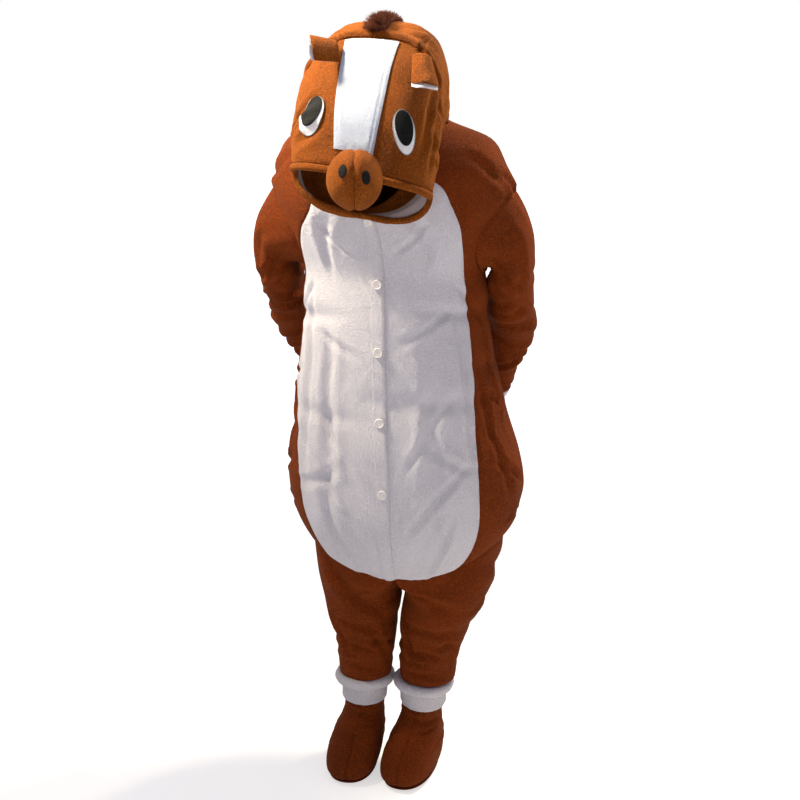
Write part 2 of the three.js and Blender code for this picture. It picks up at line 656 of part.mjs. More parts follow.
add('hood_lining', wall({
  surface: hood, rows: LINING_ROWS, angles: () => hoodAngles, ringed: true,
  outer: -CLOTH - LINING_GAP, inner: -2 * CLOTH - LINING_GAP,
}), LINING);

// The rolled edge round the face opening
const bindingAngles = roundAngles(28);
const bindingOut = bindingAngles.map((angle) => outward(hood, angle, 1, 1));
const bindingOn = bindingAngles.map((angle) => hood(angle, 1).sub(hood(angle, 0.99)).normalize());
const bindingCentres = bindingAngles.map((angle, i) => hood(angle, 1)
  .addScaledVector(bindingOn[i], BINDING_RADIUS + BINDING_GAP)
  .addScaledVector(bindingOut[i], -1));
add('opening_binding', ringTube(
  bindingCentres, bindingOut, bindingOn, BINDING_RADIUS, BINDING_RADIUS, 6,
), BROWN);

// Blaze: the white patch down the forehead, on the face panel
const BLAZE = [
  { at: 0.72, half: 52 },
  { at: 0.80, half: 48 },
  { at: 0.88, half: 45 },
  { at: 0.97, half: 37 },
];
const crownAngle = (at, x) => {
  const row = rowAt(HOOD, at);
  return 180 - Math.asin((x / row.half) ** (row.square / 2)) * 180 / Math.PI;
};
add('blaze', wall({
  surface: hood,
  rows: [BLAZE[0].at, ...HOOD_FACE_ROWS.slice(1, -2), BLAZE.at(-1).at],
  angles: (at) => {
    const edge = crownAngle(at, rowAt(BLAZE, at).half);
    return steps(edge, 360 - edge, 6);
  },
  outer: FACE_TOP + 3 * ON_TOP + 1.5,
  inner: FACE_TOP + 3 * ON_TOP,
}), WHITE);

// Mane: a strip of long pile from the crown down the back of the hood
const MANE_HALF = 20;
const MANE_ROWS = [...HOOD_BACK_ROWS.slice(2, -1), 0.69];
const maneRise = (at) => mix(10, 14, smooth((at - 0.1) / 0.3)) + 8 * smooth((at - 0.56) / 0.08);
const maneGrid = (lift) => MANE_ROWS.map((at) => steps(-1, 1, 4).map((across) => {
  const angle = 180 + Math.sign(across) * (180 - crownAngle(at, MANE_HALF * Math.abs(across)));
  const crest = 1 - 0.75 * across * across;
  const height = 3 * ON_TOP + lift * maneRise(at) * crest;
  return hood(angle, at).addScaledVector(outward(hood, angle, at, 1), height);
}));
add('mane', solidFromGrids(maneGrid(1), maneGrid(0), false), MANE);

// Snout: a padded ball in two halves on the brim, hollow at the back where it is sewn on
const SNOUT = {
  x: 17, y: -301, z: 1296, half: 50, deep: 60, tall: 54, facing: 16, reach: { 1: 111, [-1]: 136 },
};
const SNOUT_SEAM = 0.2;
const UP = new THREE.Vector3(0, 0, 1);
const snoutSurface = (way) => (angle, at) => {
  const around = rad(mix(90, -90, at));
  const over = rad(angle);
  return new THREE.Vector3(
    way * (SNOUT_SEAM + SNOUT.half * Math.sin(over) * Math.cos(around)),
    -SNOUT.deep * Math.cos(over) * Math.cos(around),
    SNOUT.tall * Math.sin(around),
  ).applyAxisAngle(UP, rad(SNOUT.facing)).add(new THREE.Vector3(SNOUT.x, SNOUT.y, SNOUT.z));
};
for (const { side, way } of SIDES) {
  add(`snout_${side}`, wall({
    surface: snoutSurface(way),
    rows: [0.06, 0.17, 0.28, 0.39, 0.5, 0.61, 0.72, 0.83, 0.94],
    angles: () => steps(0, SNOUT.reach[way], 7),
    turn: -way,
    inner: -PADDED,
  }), BROWN);
}

// A flat patch set on a surface: rings about a centre given by angle and place. Its blunt end is its
// upper one, and slant is how many degrees its lower end lies farther round than its centre.
function patch(surface, place, turn, lift, thick, sides) {
  const point = (size, twist, out) => {
    const across = size * place.across * Math.sin(rad(twist));
    const share = size * Math.cos(rad(twist)) * (Math.cos(rad(twist)) < 0 ? 1 : place.blunt);
    const angle = place.angle + across - place.slant * share;
    const at = place.at - place.up * share;
    return surface(angle, at).addScaledVector(outward(surface, angle, at, turn), out);
  };
  const twists = steps(0, 360, sides).slice(0, -1);
  const ring = (size, out) => twists.map((twist) => point(size, twist, out));
  return cappedRings([ring(0.5, lift), ring(1, lift), ring(1, lift + thick * 0.6), ring(0.5, lift + thick)]);
}

// Eyes and nostrils
const EYE_LIFT = FACE_TOP + 3 * ON_TOP;
const EYES = {
  left: { angle: 145.5, at: 0.911, across: 10.5, up: 0.042, blunt: 0.8, slant: -4 },
  right: { angle: 216, at: 0.897, across: 13.5, up: 0.048, blunt: 0.8, slant: 2 },
};
const PUPILS = {
  left: { angle: 146.3, at: 0.906, across: 8.8, up: 0.033, blunt: 0.85, slant: -3 },
  right: { angle: 215.2, at: 0.890, across: 11, up: 0.037, blunt: 0.85, slant: 2 },
};
const NOSTRILS = {
  left: { angle: 24, at: 0.455, across: 9, up: 0.07, blunt: 1, slant: 0 },
  right: { angle: 24, at: 0.39, across: 9, up: 0.07, blunt: 1, slant: 0 },
};
for (const { side, way } of SIDES) {
  add(`eye_white_${side}`, patch(hood, EYES[side], 1, EYE_LIFT, 1.5, 16), WHITE);
  add(`pupil_${side}`, patch(hood, PUPILS[side], 1, EYE_LIFT + 2, 1.2, 14), BLACK);
  add(`nostril_${side}`, patch(snoutSurface(way), NOSTRILS[side], -way, ON_TOP, 1.5, 12), BLACK);
}

// Ears: two leaves of cloth, the white one on the under face. Each is rooted on the face panel by
// the ear-to-ear seam; out, down and lift aim it, away from the crown, to the brim and off the cloth.
const EARS = {
  left: {
    angle: 144, at: 0.730, root: 3.6, out: 0.65, down: 0.75, lift: 0.14, roll: -19,
    length: 76, rootHalf: 19, endHalf: 26,
  },
  right: {
    angle: 198, at: 0.760, root: 7, out: 0.68, down: 0.28, lift: 0.67, roll: 5,
    length: 55, rootHalf: 25, endHalf: 28,
  },
};
const EAR_BROAD = { left: 'out', right: 'down' };
const EAR_CUP = 8;
const EAR_THICK = 3;
const EAR_LINING = { low: 1.2, high: 2.4, scale: 0.9 };
const EAR_ROWS = [0, 0.25, 0.5, 0.75, 1];
const EAR_LINING_ROWS = [0.2, 0.5, 0.8, 1, 1.11];
const EAR_SPAN = steps(-1, 1, 4);
for (const { side, way } of SIDES) {
  const ear = EARS[side];
  const normal = outward(hood, ear.angle, ear.at, 1);
  const root = hood(ear.angle, ear.at).addScaledVector(normal, ear.root);
  const out = hood(ear.angle - way * 2, ear.at).sub(hood(ear.angle, ear.at)).normalize();
  const down = normal.clone().cross(out).normalize();
  if (down.z > 0) down.negate();
  const along = out.clone().multiplyScalar(ear.out)
    .addScaledVector(down, ear.down)
    .addScaledVector(normal, ear.lift)
    .normalize();
  const level = (EAR_BROAD[side] === 'down' ? down : out).clone();
  level.addScaledVector(along, -level.dot(along)).normalize();
  const beneath = along.clone().cross(level);
  if (beneath.dot(normal) > 0) beneath.negate();
  const roll = rad(ear.roll);
  const across = level.clone().multiplyScalar(Math.cos(roll)).addScaledVector(beneath, Math.sin(roll));
  const under = beneath.clone().multiplyScalar(Math.cos(roll)).addScaledVector(level, -Math.sin(roll));
  const earPoint = (at, t, lift) => root.clone()
    .addScaledVector(along, ear.length * at)
    .addScaledVector(across, mix(ear.rootHalf, ear.endHalf, smooth(at)) * t)
    .addScaledVector(under, EAR_CUP * (t * t - 1) + lift);
  const leaf = (scale, lift, rows) => rows.map((at) => EAR_SPAN.map((t) => earPoint(at, t * scale, lift)));
  add(`ear_outer_${side}`, solidFromGrids(leaf(1, -EAR_THICK, EAR_ROWS), leaf(1, 0, EAR_ROWS), false), BROWN);
  add(`ear_inner_${side}`, solidFromGrids(
    leaf(EAR_LINING.scale, EAR_LINING.low, EAR_LINING_ROWS),
    leaf(EAR_LINING.scale, EAR_LINING.high, EAR_LINING_ROWS),
    false,
  ), WHITE);
}

onesie.position.z = -HOLD_HEIGHT;
export default onesie;
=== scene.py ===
"""Horse onesie: cloth, pile and trims of an adult fleece suit with a horse-head hood, worn and hollow."""

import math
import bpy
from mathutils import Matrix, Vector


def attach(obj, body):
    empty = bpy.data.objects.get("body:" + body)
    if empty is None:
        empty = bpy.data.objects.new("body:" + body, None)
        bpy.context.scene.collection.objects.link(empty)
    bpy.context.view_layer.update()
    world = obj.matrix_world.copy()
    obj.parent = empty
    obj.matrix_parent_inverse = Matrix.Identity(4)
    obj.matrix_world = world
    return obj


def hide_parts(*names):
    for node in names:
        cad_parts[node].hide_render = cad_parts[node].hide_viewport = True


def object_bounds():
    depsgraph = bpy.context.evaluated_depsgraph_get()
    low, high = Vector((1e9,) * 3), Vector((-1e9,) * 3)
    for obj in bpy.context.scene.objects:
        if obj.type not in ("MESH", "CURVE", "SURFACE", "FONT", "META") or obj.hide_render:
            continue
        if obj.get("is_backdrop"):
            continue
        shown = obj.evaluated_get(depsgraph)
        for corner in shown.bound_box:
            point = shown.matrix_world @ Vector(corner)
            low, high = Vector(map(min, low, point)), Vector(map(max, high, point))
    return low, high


bl_info = {
    "name": "Horse onesie",
    "version": (1, 0, 0),
    "blender": (4, 5, 0),
    "location": "View3D > Sidebar > Onesie",
    "description": "Builds a hooded fleece suit with a horse's face, button front, cuffs and foot covers",
    "category": "Add Mesh",
}

import bpy
import numpy as np
from bpy.props import FloatProperty, FloatVectorProperty, IntProperty, PointerProperty

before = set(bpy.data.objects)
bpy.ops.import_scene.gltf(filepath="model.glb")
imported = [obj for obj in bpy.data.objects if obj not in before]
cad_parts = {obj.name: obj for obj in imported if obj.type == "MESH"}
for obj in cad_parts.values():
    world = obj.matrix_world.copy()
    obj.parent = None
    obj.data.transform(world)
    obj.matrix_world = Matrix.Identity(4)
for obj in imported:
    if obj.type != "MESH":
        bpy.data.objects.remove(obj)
CAD_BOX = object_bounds()

# Sizes in millimetres, heights measured up from the soles, as the suit is cut
HOLD_HEIGHT = 1350.0
CLOTH = 2.0
SEAM_INSET = 0.2
PLACKET_LIFT = 0.8
PLACKET_HALF = 14.0
FACE_TOP = 2.0
ON_TOP = 0.3
MM = 0.001
SIDES = (("left", 1), ("right", -1))
CREASE_DEPTH = 1.6
ALLOWANCE = 2.2


# Small helpers
def mix(a, b, t):
    return a + (b - a) * t


def smooth(t):
    held = np.clip(t, 0.0, 1.0)
    return held * held * (3.0 - 2.0 * held)


def signed_power(value, exponent):
    return np.sign(value) * np.abs(value) ** exponent


def unit(vectors):
    return vectors / np.maximum(np.linalg.norm(vectors, axis=-1, keepdims=True), 1e-9)


def named_rows(columns, *rows):
    """A table with named columns, each an array."""
    return {name: np.array(column, float) for name, column in zip(columns.split(), zip(*rows))}


def row_at(table, at):
    """A table's columns at any places, on a smooth curve through its rows."""
    places = table["at"]
    at = np.asarray(at, float)
    i = np.searchsorted(places[1:-1], at, side="left")
    before = np.maximum(0, i - 1)
    after = np.minimum(len(places) - 1, i + 2)
    near = places[i]
    far = places[i + 1]
    span = far - near
    t = (at - near) / span
    made = {}
    for name, column in table.items():
        start = (column[i + 1] - column[before]) / (far - places[before]) * span
        end = (column[after] - column[i]) / (places[after] - near) * span
        made[name] = (
            (2 * t**3 - 3 * t**2 + 1) * column[i]
            + (t**3 - 2 * t**2 + t) * start
            + (3 * t**2 - 2 * t**3) * column[i + 1]
            + (t**3 - t**2) * end
        )
    return made


def section(row, angle, rise=2.0):
    """A closed ring of cloth: angle 0 is the front, 90 is +X, 180 the back."""
    across = np.sin(np.radians(angle))
    along = np.cos(np.radians(angle))
    bend = 2.0 / row["square"]
    end_y = np.where(along > 0, row["front_y"], row["back_y"])
    end_z = np.where(along > 0, row["front_z"], row["back_z"])
    x = row["centre_x"] + row["half"] * signed_power(across, bend)
    y = mix(row["mid_y"], end_y, np.abs(along) ** bend)
    z = mix(row["side_z"], end_z, np.abs(along) ** rise)
    return np.stack(np.broadcast_arrays(x, y, z), axis=-1)


def outward(surface, angle, at, turn=1, step_angle=1.5, step_at=0.006):
    along_angle = surface(angle + step_angle, at) - surface(angle - step_angle, at)
    along_at = surface(angle, at + step_at) - surface(angle, at - step_at)
    return turn * unit(np.cross(along_angle, along_at))


# Uneven detail: smooth noise worked out from places on the cloth, the same on each run
def lattice(ix, iy, iz, seed):
    h = (ix * 73856093) ^ (iy * 19349663) ^ (iz * 83492791) ^ (seed * 2654435761)
    h = (h ^ (h >> 13)) * 1274126177
    h = h & 0xFFFFFFFF
    return ((h ^ (h >> 16)) & 0xFFFF) / 32767.5 - 1.0


def noise(points, size, seed=1):
    """Noise from -1 to 1 that changes over about `size` millimetres."""
    p = np.asarray(points, float) / size
    base = np.floor(p).astype(np.int64)
    f = p - base
    f = f * f * (3.0 - 2.0 * f)
    total = 0.0
    for dx in (0, 1):
        for dy in (0, 1):
            for dz in (0, 1):
                weight = (
                    (f[..., 0] if dx else 1 - f[..., 0])
                    * (f[..., 1] if dy else 1 - f[..., 1])
                    * (f[..., 2] if dz else 1 - f[..., 2])
                )
                total = total + weight * lattice(
                    base[..., 0] + dx, base[..., 1] + dy, base[..., 2] + dz, seed
                )
    return total


class Surface:
    """A plain surface with its large folds, its listed creases and a slight unevenness pressed in.

    Folds are broad troughs that the solids have too. A crease runs from one (angle, place) to another and
    has a width, a depth and a bow in millimetres; scale gives the millimetres in a degree and in the
    length."""

    def __init__(self, plain, folds=(), creases=(), scale=(1.0, 1.0), turn=1, uneven=0.0, seed=1):
        self.plain = plain
        self.folds = folds
        self.creases = creases
        self.scale = scale
        self.turn = turn
        self.uneven = uneven
        self.seed = seed

    def normal(self, angle, at):
        return outward(self.plain, np.asarray(angle, float), np.asarray(at, float), self.turn)

    def depth(self, base, angle, at):
        depth = 0.0
        for fold_angle, fold_at, wide, tall, deep, slope in self.folds:
            up = at - fold_at
            around = ((angle - fold_angle - slope * up + 540.0) % 360.0) - 180.0
            depth = depth + deep * np.exp(-((around / wide) ** 2) - (up / tall) ** 2)
        if self.uneven:
            slow = 1.5 * noise(base, 85.0, self.seed) + 0.6 * noise(base, 34.0, self.seed + 2)
            depth = depth - self.uneven * slow
        if self.creases:
            wander = 7.0 * noise(base, 62.0, self.seed + 5)
        for a0, t0, a1, t1, wide, deep, bow in self.creases:
            x = (((angle - (a0 + a1) / 2 + 540.0) % 360.0) - 180.0) * self.scale[0]
            y = (at - (t0 + t1) / 2) * self.scale[1]
            run_x = (a1 - a0) * self.scale[0]
            run_y = (t1 - t0) * self.scale[1]
            half = math.hypot(run_x, run_y) / 2
            ux, uy = run_x / (2 * half), run_y / (2 * half)
            share = (x * ux + y * uy) / half
            off = np.abs((y * ux - x * uy) - bow * (1 - share**2) + wander) / wide
            taper = np.exp(-((np.maximum(np.abs(share) - 0.45, 0) / 0.42) ** 2))
            press = deep * CREASE_DEPTH * (1.0 + 0.35 * wander / 7.0)
            depth = depth + press * taper * (np.exp(-(off**2)) - 0.45 * np.exp(-(((off - 1.75) / 0.8) ** 2)))
        return depth

    def __call__(self, angle, at):
        angle, at = np.broadcast_arrays(np.asarray(angle, float), np.asarray(at, float))
        base = self.plain(angle, at)
        depth = np.asarray(self.depth(base, angle, at))
        return base - depth[..., None] * self.normal(angle, at)


def kept_ring(place):
    """Points round a ring, worked out once at each half degree and read between them."""
    turns = np.linspace(0.0, 360.0, 721)
    points = place(turns)

    def ring(angle):
        turn = np.mod(angle, 360.0)
        return np.stack([np.interp(turn, turns, points[:, k]) for k in range(3)], axis=-1)

    return ring


# Grids of points and the meshes made of them
def panel_shares(length, spacing, close=(1.0, 2.6, 5.0)):
    """Shares from 0 to 1 across a panel of this length in millimetres, with close lines by both edges."""
    edge = np.array([0.0, *close]) / length
    count = max(3, int(round((length - 2 * close[-1]) / spacing)) + 1)
    inner = np.linspace(edge[-1], 1 - edge[-1], count)
    return np.concatenate([edge[:-1], inner, (1 - edge[:-1])[::-1]])


def grid_faces(rows, columns, ringed, start=0, flip=False):
    spans = columns if ringed else columns - 1
    i, j = np.meshgrid(np.arange(rows - 1), np.arange(spans), indexing="ij")
    over = (j + 1) % columns
    a = i * columns + j
    b = i * columns + over
    quads = np.stack([a, b, b + columns, a + columns], axis=-1).reshape(-1, 4) + start
    return quads[:, ::-1] if flip else quads


def shell_faces(rows, columns, ringed):
    """Faces of a thin closed wall: the outer grid, the inner grid and the strips between their edges."""
    inner = rows * columns
    parts = [grid_faces(rows, columns, ringed), grid_faces(rows, columns, ringed, inner, True)]
    spans = columns if ringed else columns - 1
    j = np.arange(spans)
    over = (j + 1) % columns
    last = (rows - 1) * columns
    parts.append(np.stack([over, j, j + inner, over + inner], axis=-1))
    parts.append(np.stack([j + last, over + last, over + last + inner, j + last + inner], axis=-1))
    if not ringed:
        i = np.arange(rows - 1) * columns
        end = columns - 1
        parts.append(np.stack([i, i + columns, i + columns + inner, i + inner], axis=-1))
        corners = [i + end, i + end + inner, i + columns + end + inner, i + columns + end]
        parts.append(np.stack(corners, axis=-1))
    return np.concatenate(parts)


def signed_volume(points, faces):
    a = points[faces[:, 0]]
    b = points[faces[:, 1]]
    c = points[faces[:, 2]]
    d = points[faces[:, 3]]
    return float(np.sum(np.cross(a, b) * c) + np.sum(np.cross(a, c) * d))


def build(name, points, faces, material, body="root", lowered=True, slots=None):
    """A smooth mesh object from points in millimetres, its faces turned outward."""
    points = np.asarray(points, float).reshape(-1, 3)
    faces = np.asarray(faces)
    if faces.shape[1] == 4 and signed_volume(points, faces) < 0:
        faces = faces[:, ::-1]
    placed = points.copy()
    if lowered:
        placed[:, 2] -= HOLD_HEIGHT
    mesh = bpy.data.meshes.new(name)
    mesh.from_pydata((placed * MM).tolist(), [], faces.tolist())
    mesh.materials.append(material)
    mesh.update()
    mesh.shade_smooth()
    thing = bpy.data.objects.new(name, mesh)
    bpy.context.scene.collection.objects.link(thing)
    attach(thing, body)
    return thing


def run_lengths(points, axis):
    steps = np.linalg.norm(np.diff(points, axis=axis), axis=-1)
    total = np.cumsum(steps, axis=axis)
    pad = np.zeros_like(np.take(points[..., 0], [0], axis=axis))
    return np.concatenate([pad, total], axis=axis)


def edge_distance(points, edges):
    """How far each point lies from the nearest sewn edge; edges names them: low, high, first, last."""
    near = np.full(points.shape[:2], 1e3)
    up = run_lengths(points, 0)
    along = run_lengths(points, 1)
    if "low" in edges:
        near = np.minimum(near, up)
    if "high" in edges:
        near = np.minimum(near, up[-1:] - up)
    if "first" in edges:
        near = np.minimum(near, along)
    if "last" in edges:
        near = np.minimum(near, along[:, -1:] - along)
    return near


def drawn_in(grid, ringed):
    """Free edges moved in by the seam's clearance."""
    moved = grid.copy()
    moved[0] += SEAM_INSET * unit(grid[1] - grid[0])
    moved[-1] += SEAM_INSET * unit(grid[-2] - grid[-1])
    if not ringed:
        moved[:, 0] += SEAM_INSET * unit(grid[:, 1] - grid[:, 0])
        moved[:, -1] += SEAM_INSET * unit(grid[:, -2] - grid[:, -1])
    return moved


class Cloth:
    """A cloth panel on a surface, a wall with both faces and rolled, puckered edges at its seams."""

    def __init__(self, surface, ats, angles, outer=0.0, inner=-CLOTH, ringed=False, edges=None,
                 tuck=1.3, pucker=0.9, relief=None):
        ats = np.asarray(ats, float)
        angle = np.stack([np.asarray(angles(at), float) for at in ats])
        at = np.broadcast_to(ats[:, None], angle.shape)
        base = surface(angle, at)
        normal = surface.normal(angle, at)
        if edges is None:
            edges = ("low", "high") if ringed else ("low", "high", "first", "last")
        near = edge_distance(base, edges) if edges else np.full(base.shape[:2], 1e3)
        drop = tuck * np.exp(-((near / 3.2) ** 2))
        waves = 0.5 + 0.5 * noise(base, 11.0, 31)
        drop = drop + pucker * waves * np.exp(-((near / 13.0) ** 2))
        drop = drop - 0.35 * pucker * np.exp(-(((near - 8) / 5.0) ** 2))
        if relief is not None:
            drop = drop - relief(base, near, angle, at)
        drop = drop[..., None]
        self.outer = drawn_in(base + normal * (outer - drop), ringed)
        self.inner = drawn_in(base + normal * np.minimum(inner, outer - drop - 0.7), ringed)
        self.ringed = ringed
        self.normal = normal
        self.allowance = None

    def make(self, name, material):
        rows, columns = self.outer.shape[:2]
        points = np.concatenate([self.outer.reshape(-1, 3), self.inner.reshape(-1, 3)])
        faces = shell_faces(rows, columns, self.ringed)
        if self.allowance is not None:
            faces = np.concatenate([faces, self.allowance[1] + len(points)])
            points = np.concatenate([points, self.allowance[0]])
        return build(name, points, faces, material)

    def add_allowance(self, edge):
        """The seam allowance turned in behind the first edge, which closes the seam from within."""
        middle = edge - self.normal[0] * 1.8
        along = unit(np.roll(middle, -1, axis=0) - np.roll(middle, 1, axis=0))
        up = unit(np.cross(along, self.normal[0]))
        self.allowance = closed_tube(tube_grid(middle, self.normal[0], up, ALLOWANCE, ALLOWANCE + 0.6, 8))

    def cut(self):
        """Width, length and area in metres of the cloth as it lay flat."""
        grid = self.outer
        if self.ringed:
            grid = np.concatenate([grid, grid[:, :1]], axis=1)
        wide = run_lengths(grid, 1)[:, -1].max() * MM
        long = run_lengths(grid, 0)[-1].max() * MM
        a, b, c, d = grid[:-1, :-1], grid[:-1, 1:], grid[1:, 1:], grid[1:, :-1]
        area = 0.5 * (
            np.linalg.norm(np.cross(b - a, c - a), axis=-1) + np.linalg.norm(np.cross(c - a, d - a), axis=-1)
        ).sum() * MM * MM
        return wide, long, area


def sheet_piece(cloth, node, finish, suffix="cloth"):
    """Makes a panel and sets it in place of its node; the size it was cut to is worked out but not kept."""
    piece = cloth.make(f"{node}_{suffix}", finish)
    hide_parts(node)
    wide, long, area = cloth.cut()
    wide = math.ceil(wide * 100) / 100
    long = math.ceil(long * 100) / 100
    area = min(wide * long, max(0.31 * wide * long, round(area, 4)))
    return piece


def stitches(name, line, normals, material, length=3.0, gap=1.6, radius=0.42, lift=0.1):
    """A row of thread stitches along a line of points lying on cloth."""
    line = np.asarray(line, float)
    along = np.concatenate([[0.0], np.cumsum(np.linalg.norm(np.diff(line, axis=0), axis=1))])
    count = max(1, int(along[-1] // (length + gap)))
    starts = (np.arange(count) + 0.25) * (along[-1] / count)
    points = []
    faces = []
    sides = 6
    rings = ((0.0, 0.15), (0.18, 0.85), (0.5, 1.0), (0.82, 0.85), (1.0, 0.15))
    for start in starts:
        ends = [
            np.array([np.interp(start + share * length, along, line[:, k]) for k in range(3)])
            for share in (0, 1)
        ]
        up = unit(np.array([np.interp(start + length / 2, along, normals[:, k]) for k in range(3)]))
        way = unit(ends[1] - ends[0])
        side = np.cross(way, up)
        first = len(points)
        for share, fat in rings:
            centre = mix(ends[0], ends[1], share) + up * (lift + radius * (fat - 0.6))
            for k in range(sides):
                turn = 2 * math.pi * k / sides
                points.append(centre + radius * fat * (math.cos(turn) * side + math.sin(turn) * up))
        for r in range(len(rings) - 1):
            for k in range(sides):
                over = (k + 1) % sides
                a = first + r * sides
                faces.append((a + k, a + over, a + sides + over, a + sides + k))
        faces.append((first, first + 1, first + 2, first + 3))
        faces.append((first, first + 3, first + 4, first + 5))
        end = first + (len(rings) - 1) * sides
        faces.append((end + 3, end + 2, end + 1, end))
        faces.append((end + 5, end + 4, end + 3, end))
    piece = build(name, np.array(points), np.array(faces), material)
    return piece


# Torso: one row for each section, from the bottom of the low baggy seat to the neck
SECTION = "at front_z side_z back_z half centre_x front_y mid_y back_y square"
TORSO = named_rows(
    SECTION,
    (0.00, 464, 546, 470, 210, 40, -108, 4, 118, 2.2),
    (0.05, 478, 578, 504, 236, 39, -146, 4, 152, 2.2),
    (0.14, 556, 634, 590, 251, 37, -174, 4, 172, 2.2),
    (0.27, 690, 715, 700, 246, 33, -176, 2, 164, 2.2),
    (0.40, 812, 818, 812, 222, 25, -163, 0, 134, 2.3),
    (0.54, 950, 930, 945, 203, 18, -147, 0, 100, 2.2),
    (0.66, 1050, 1036, 1070, 191, 13, -135, 2, 94, 2.1),
    (0.73, 1092, 1100, 1135, 190, 11, -130, 6, 100, 2.1),
    (0.80, 1130, 1182, 1205, 220, 8, -132, 12, 108, 2.1),
    (0.87, 1166, 1260, 1275, 250, 5, -138, 14, 112, 2),
    (0.92, 1194, 1306, 1328, 238, 0, -146, 12, 108, 2),
    (0.96, 1214, 1360, 1374, 207, -1, -152, 4, 98, 2),
    (1.00, 1232, 1390, 1416, 126, 0, -158, -30, 70, 2),
)
TORSO_SCALE = (3.9, 900.0)
ARMHOLE_LOW = 0.73
ARMHOLE_HIGH = 0.87
ARMHOLE_SPREAD = 31.0
ARMHOLE_ROUNDS = 26
BELLY_EDGE = named_rows(
    "at angle twist",
    (0.00, 23, 0),
    (0.03, 33, 0),
    (0.08, 40, 1),
    (0.14, 45.6, -0.4),
    (0.27, 49.4, -2),
    (0.40, 58, -5.8),
    (0.54, 65, -7.2),
    (0.66, 67, -6.2),
    (0.73, 62, -4.4),
    (0.80, 48.5, -1.5),
    (0.87, 38.5, 1.5),
    (0.92, 36.2, 3.4),
    (1.00, 37, 3.6),
)
# angle, place, width in degrees, height, depth, slope
TORSO_FOLDS = (
    (52, 0.64, 26, 0.016, 7, -60),
    (-50, 0.62, 24, 0.016, 7, 60),
    (30, 0.44, 30, 0.020, 6, 90),
    (-34, 0.40, 26, 0.018, 6, -80),
    (74, 0.52, 16, 0.018, 6, 40),
    (70, 0.36, 18, 0.022, 7, 60),
    (-72, 0.34, 18, 0.022, 7, -60),
    (12, 0.10, 9, 0.10, 6, 70),
    (-16, 0.12, 9, 0.10, 6, -60),
    (100, 0.10, 16, 0.04, 8, 120),
    (-98, 0.10, 16, 0.04, 8, -120),
    (150, 0.30, 26, 0.03, 9, -80),
    (-148, 0.32, 26, 0.03, 9, 80),
    (166, 0.58, 22, 0.02, 7, -50),
    (-160, 0.62, 22, 0.02, 7, 50),
    (140, 0.84, 12, 0.05, 6, 90),
    (-140, 0.84, 12, 0.05, 6, -90),
)
# from angle, place, to angle, place, width, depth, bow
TORSO_CREASES = (
    (8, 0.16, 42, 0.30, 9, 3.5, 6),
    (-8, 0.14, -44, 0.33, 9, 4.0, -8),
    (-6, 0.22, -40, 0.44, 8, 2.6, -6),
    (10, 0.30, 40, 0.46, 8, 2.4, 4),
    (-14, 0.05, -30, 0.22, 8, 3.5, 4),
    (14, 0.04, 32, 0.20, 8, 3.0, -4),
    (-10, 0.52, -46, 0.60, 8, 2.4, 4),
    (-26, 0.10, -34, 0.62, 15, 4.5, -9),
    (24, 0.12, 27, 0.52, 15, 4.0, 8),
    (-42, 0.20, -52, 0.74, 13, 4.0, 7),
    (44, 0.24, 50, 0.70, 12, 3.6, -6),
    (-30, 0.72, -22, 0.93, 13, 3.6, 5),
    (28, 0.74, 20, 0.94, 12, 3.6, -5),
    (0, 0.06, -18, 0.02, 9, 4.0, 2),
    (4, 0.07, 24, 0.03, 9, 4.0, -2),
    (-18, 0.30, -50, 0.22, 10, 3.4, 5),
    (16, 0.36, 48, 0.28, 10, 3.0, -5),
    (72, 0.16, 60, 0.52, 11, 4.2, 6),
    (80, 0.34, 74, 0.66, 9, 3.8, -5),
    (-76, 0.20, -70, 0.60, 10, 4.0, 5),
    (70, 0.92, 96, 0.84, 10, 4.0, 4),
    (-70, 0.92, -98, 0.85, 10, 4.0, -4),
    (60, 0.97, 76, 0.86, 9, 3.4, 4),
    (68, 0.685, 116, 0.685, 26, -4.0, 0),
    (-68, 0.685, -116, 0.685, 26, -4.0, 0),
    (-60, 0.97, -78, 0.86, 9, 3.4, -4),
    (12, 0.56, 48, 0.66, 8, 2.4, -4),
    (-8, 0.80, -30, 0.90, 8, 2.2, 3),
    (8, 0.82, 28, 0.92, 8, 2.2, -3),
    (-50, 0.70, -80, 0.60, 9, 3.5, 4),
    (52, 0.71, 82, 0.60, 9, 3.5, -4),
    (-60, 0.50, -92, 0.44, 9, 3.0, 3),
    (62, 0.47, 96, 0.40, 9, 3.4, -3),
    (58, 0.30, 88, 0.20, 10, 4.0, 5),
    (-60, 0.28, -90, 0.17, 10, 4.0, -5),
    (64, 0.12, 96, 0.06, 9, 3.5, 4),
    (-64, 0.12, -96, 0.06, 9, 3.5, -4),
    (110, 0.24, 160, 0.12, 12, 4.5, 8),
    (-110, 0.26, -160, 0.14, 12, 4.5, -8),
    (112, 0.46, 168, 0.40, 11, 4.0, 6),
    (-114, 0.50, -170, 0.44, 11, 4.0, -6),
    (120, 0.66, 170, 0.70, 10, 3.6, -6),
    (-118, 0.64, -172, 0.72, 10, 3.6, 6),
    (130, 0.76, 160, 0.90, 9, 3.2, 4),
    (-132, 0.75, -162, 0.88, 9, 3.2, -4),
    (176, 0.92, 150, 0.98, 8, 2.6, 2),
    (-176, 0.93, -148, 0.98, 8, 2.6, -2),
)


def plain_torso(angle, at):
    return section(row_at(TORSO, at), angle)


torso = Surface(plain_torso, TORSO_FOLDS, TORSO_CREASES, TORSO_SCALE, 1, 1.0, 3)
seat_ring = kept_ring(lambda turns: torso(turns, np.zeros_like(turns)))
neck_ring = kept_ring(lambda turns: torso(turns, np.ones_like(turns)))


def belly_edge(at, way):
    row = row_at(BELLY_EDGE, at)
    return way * row["angle"] + row["twist"]


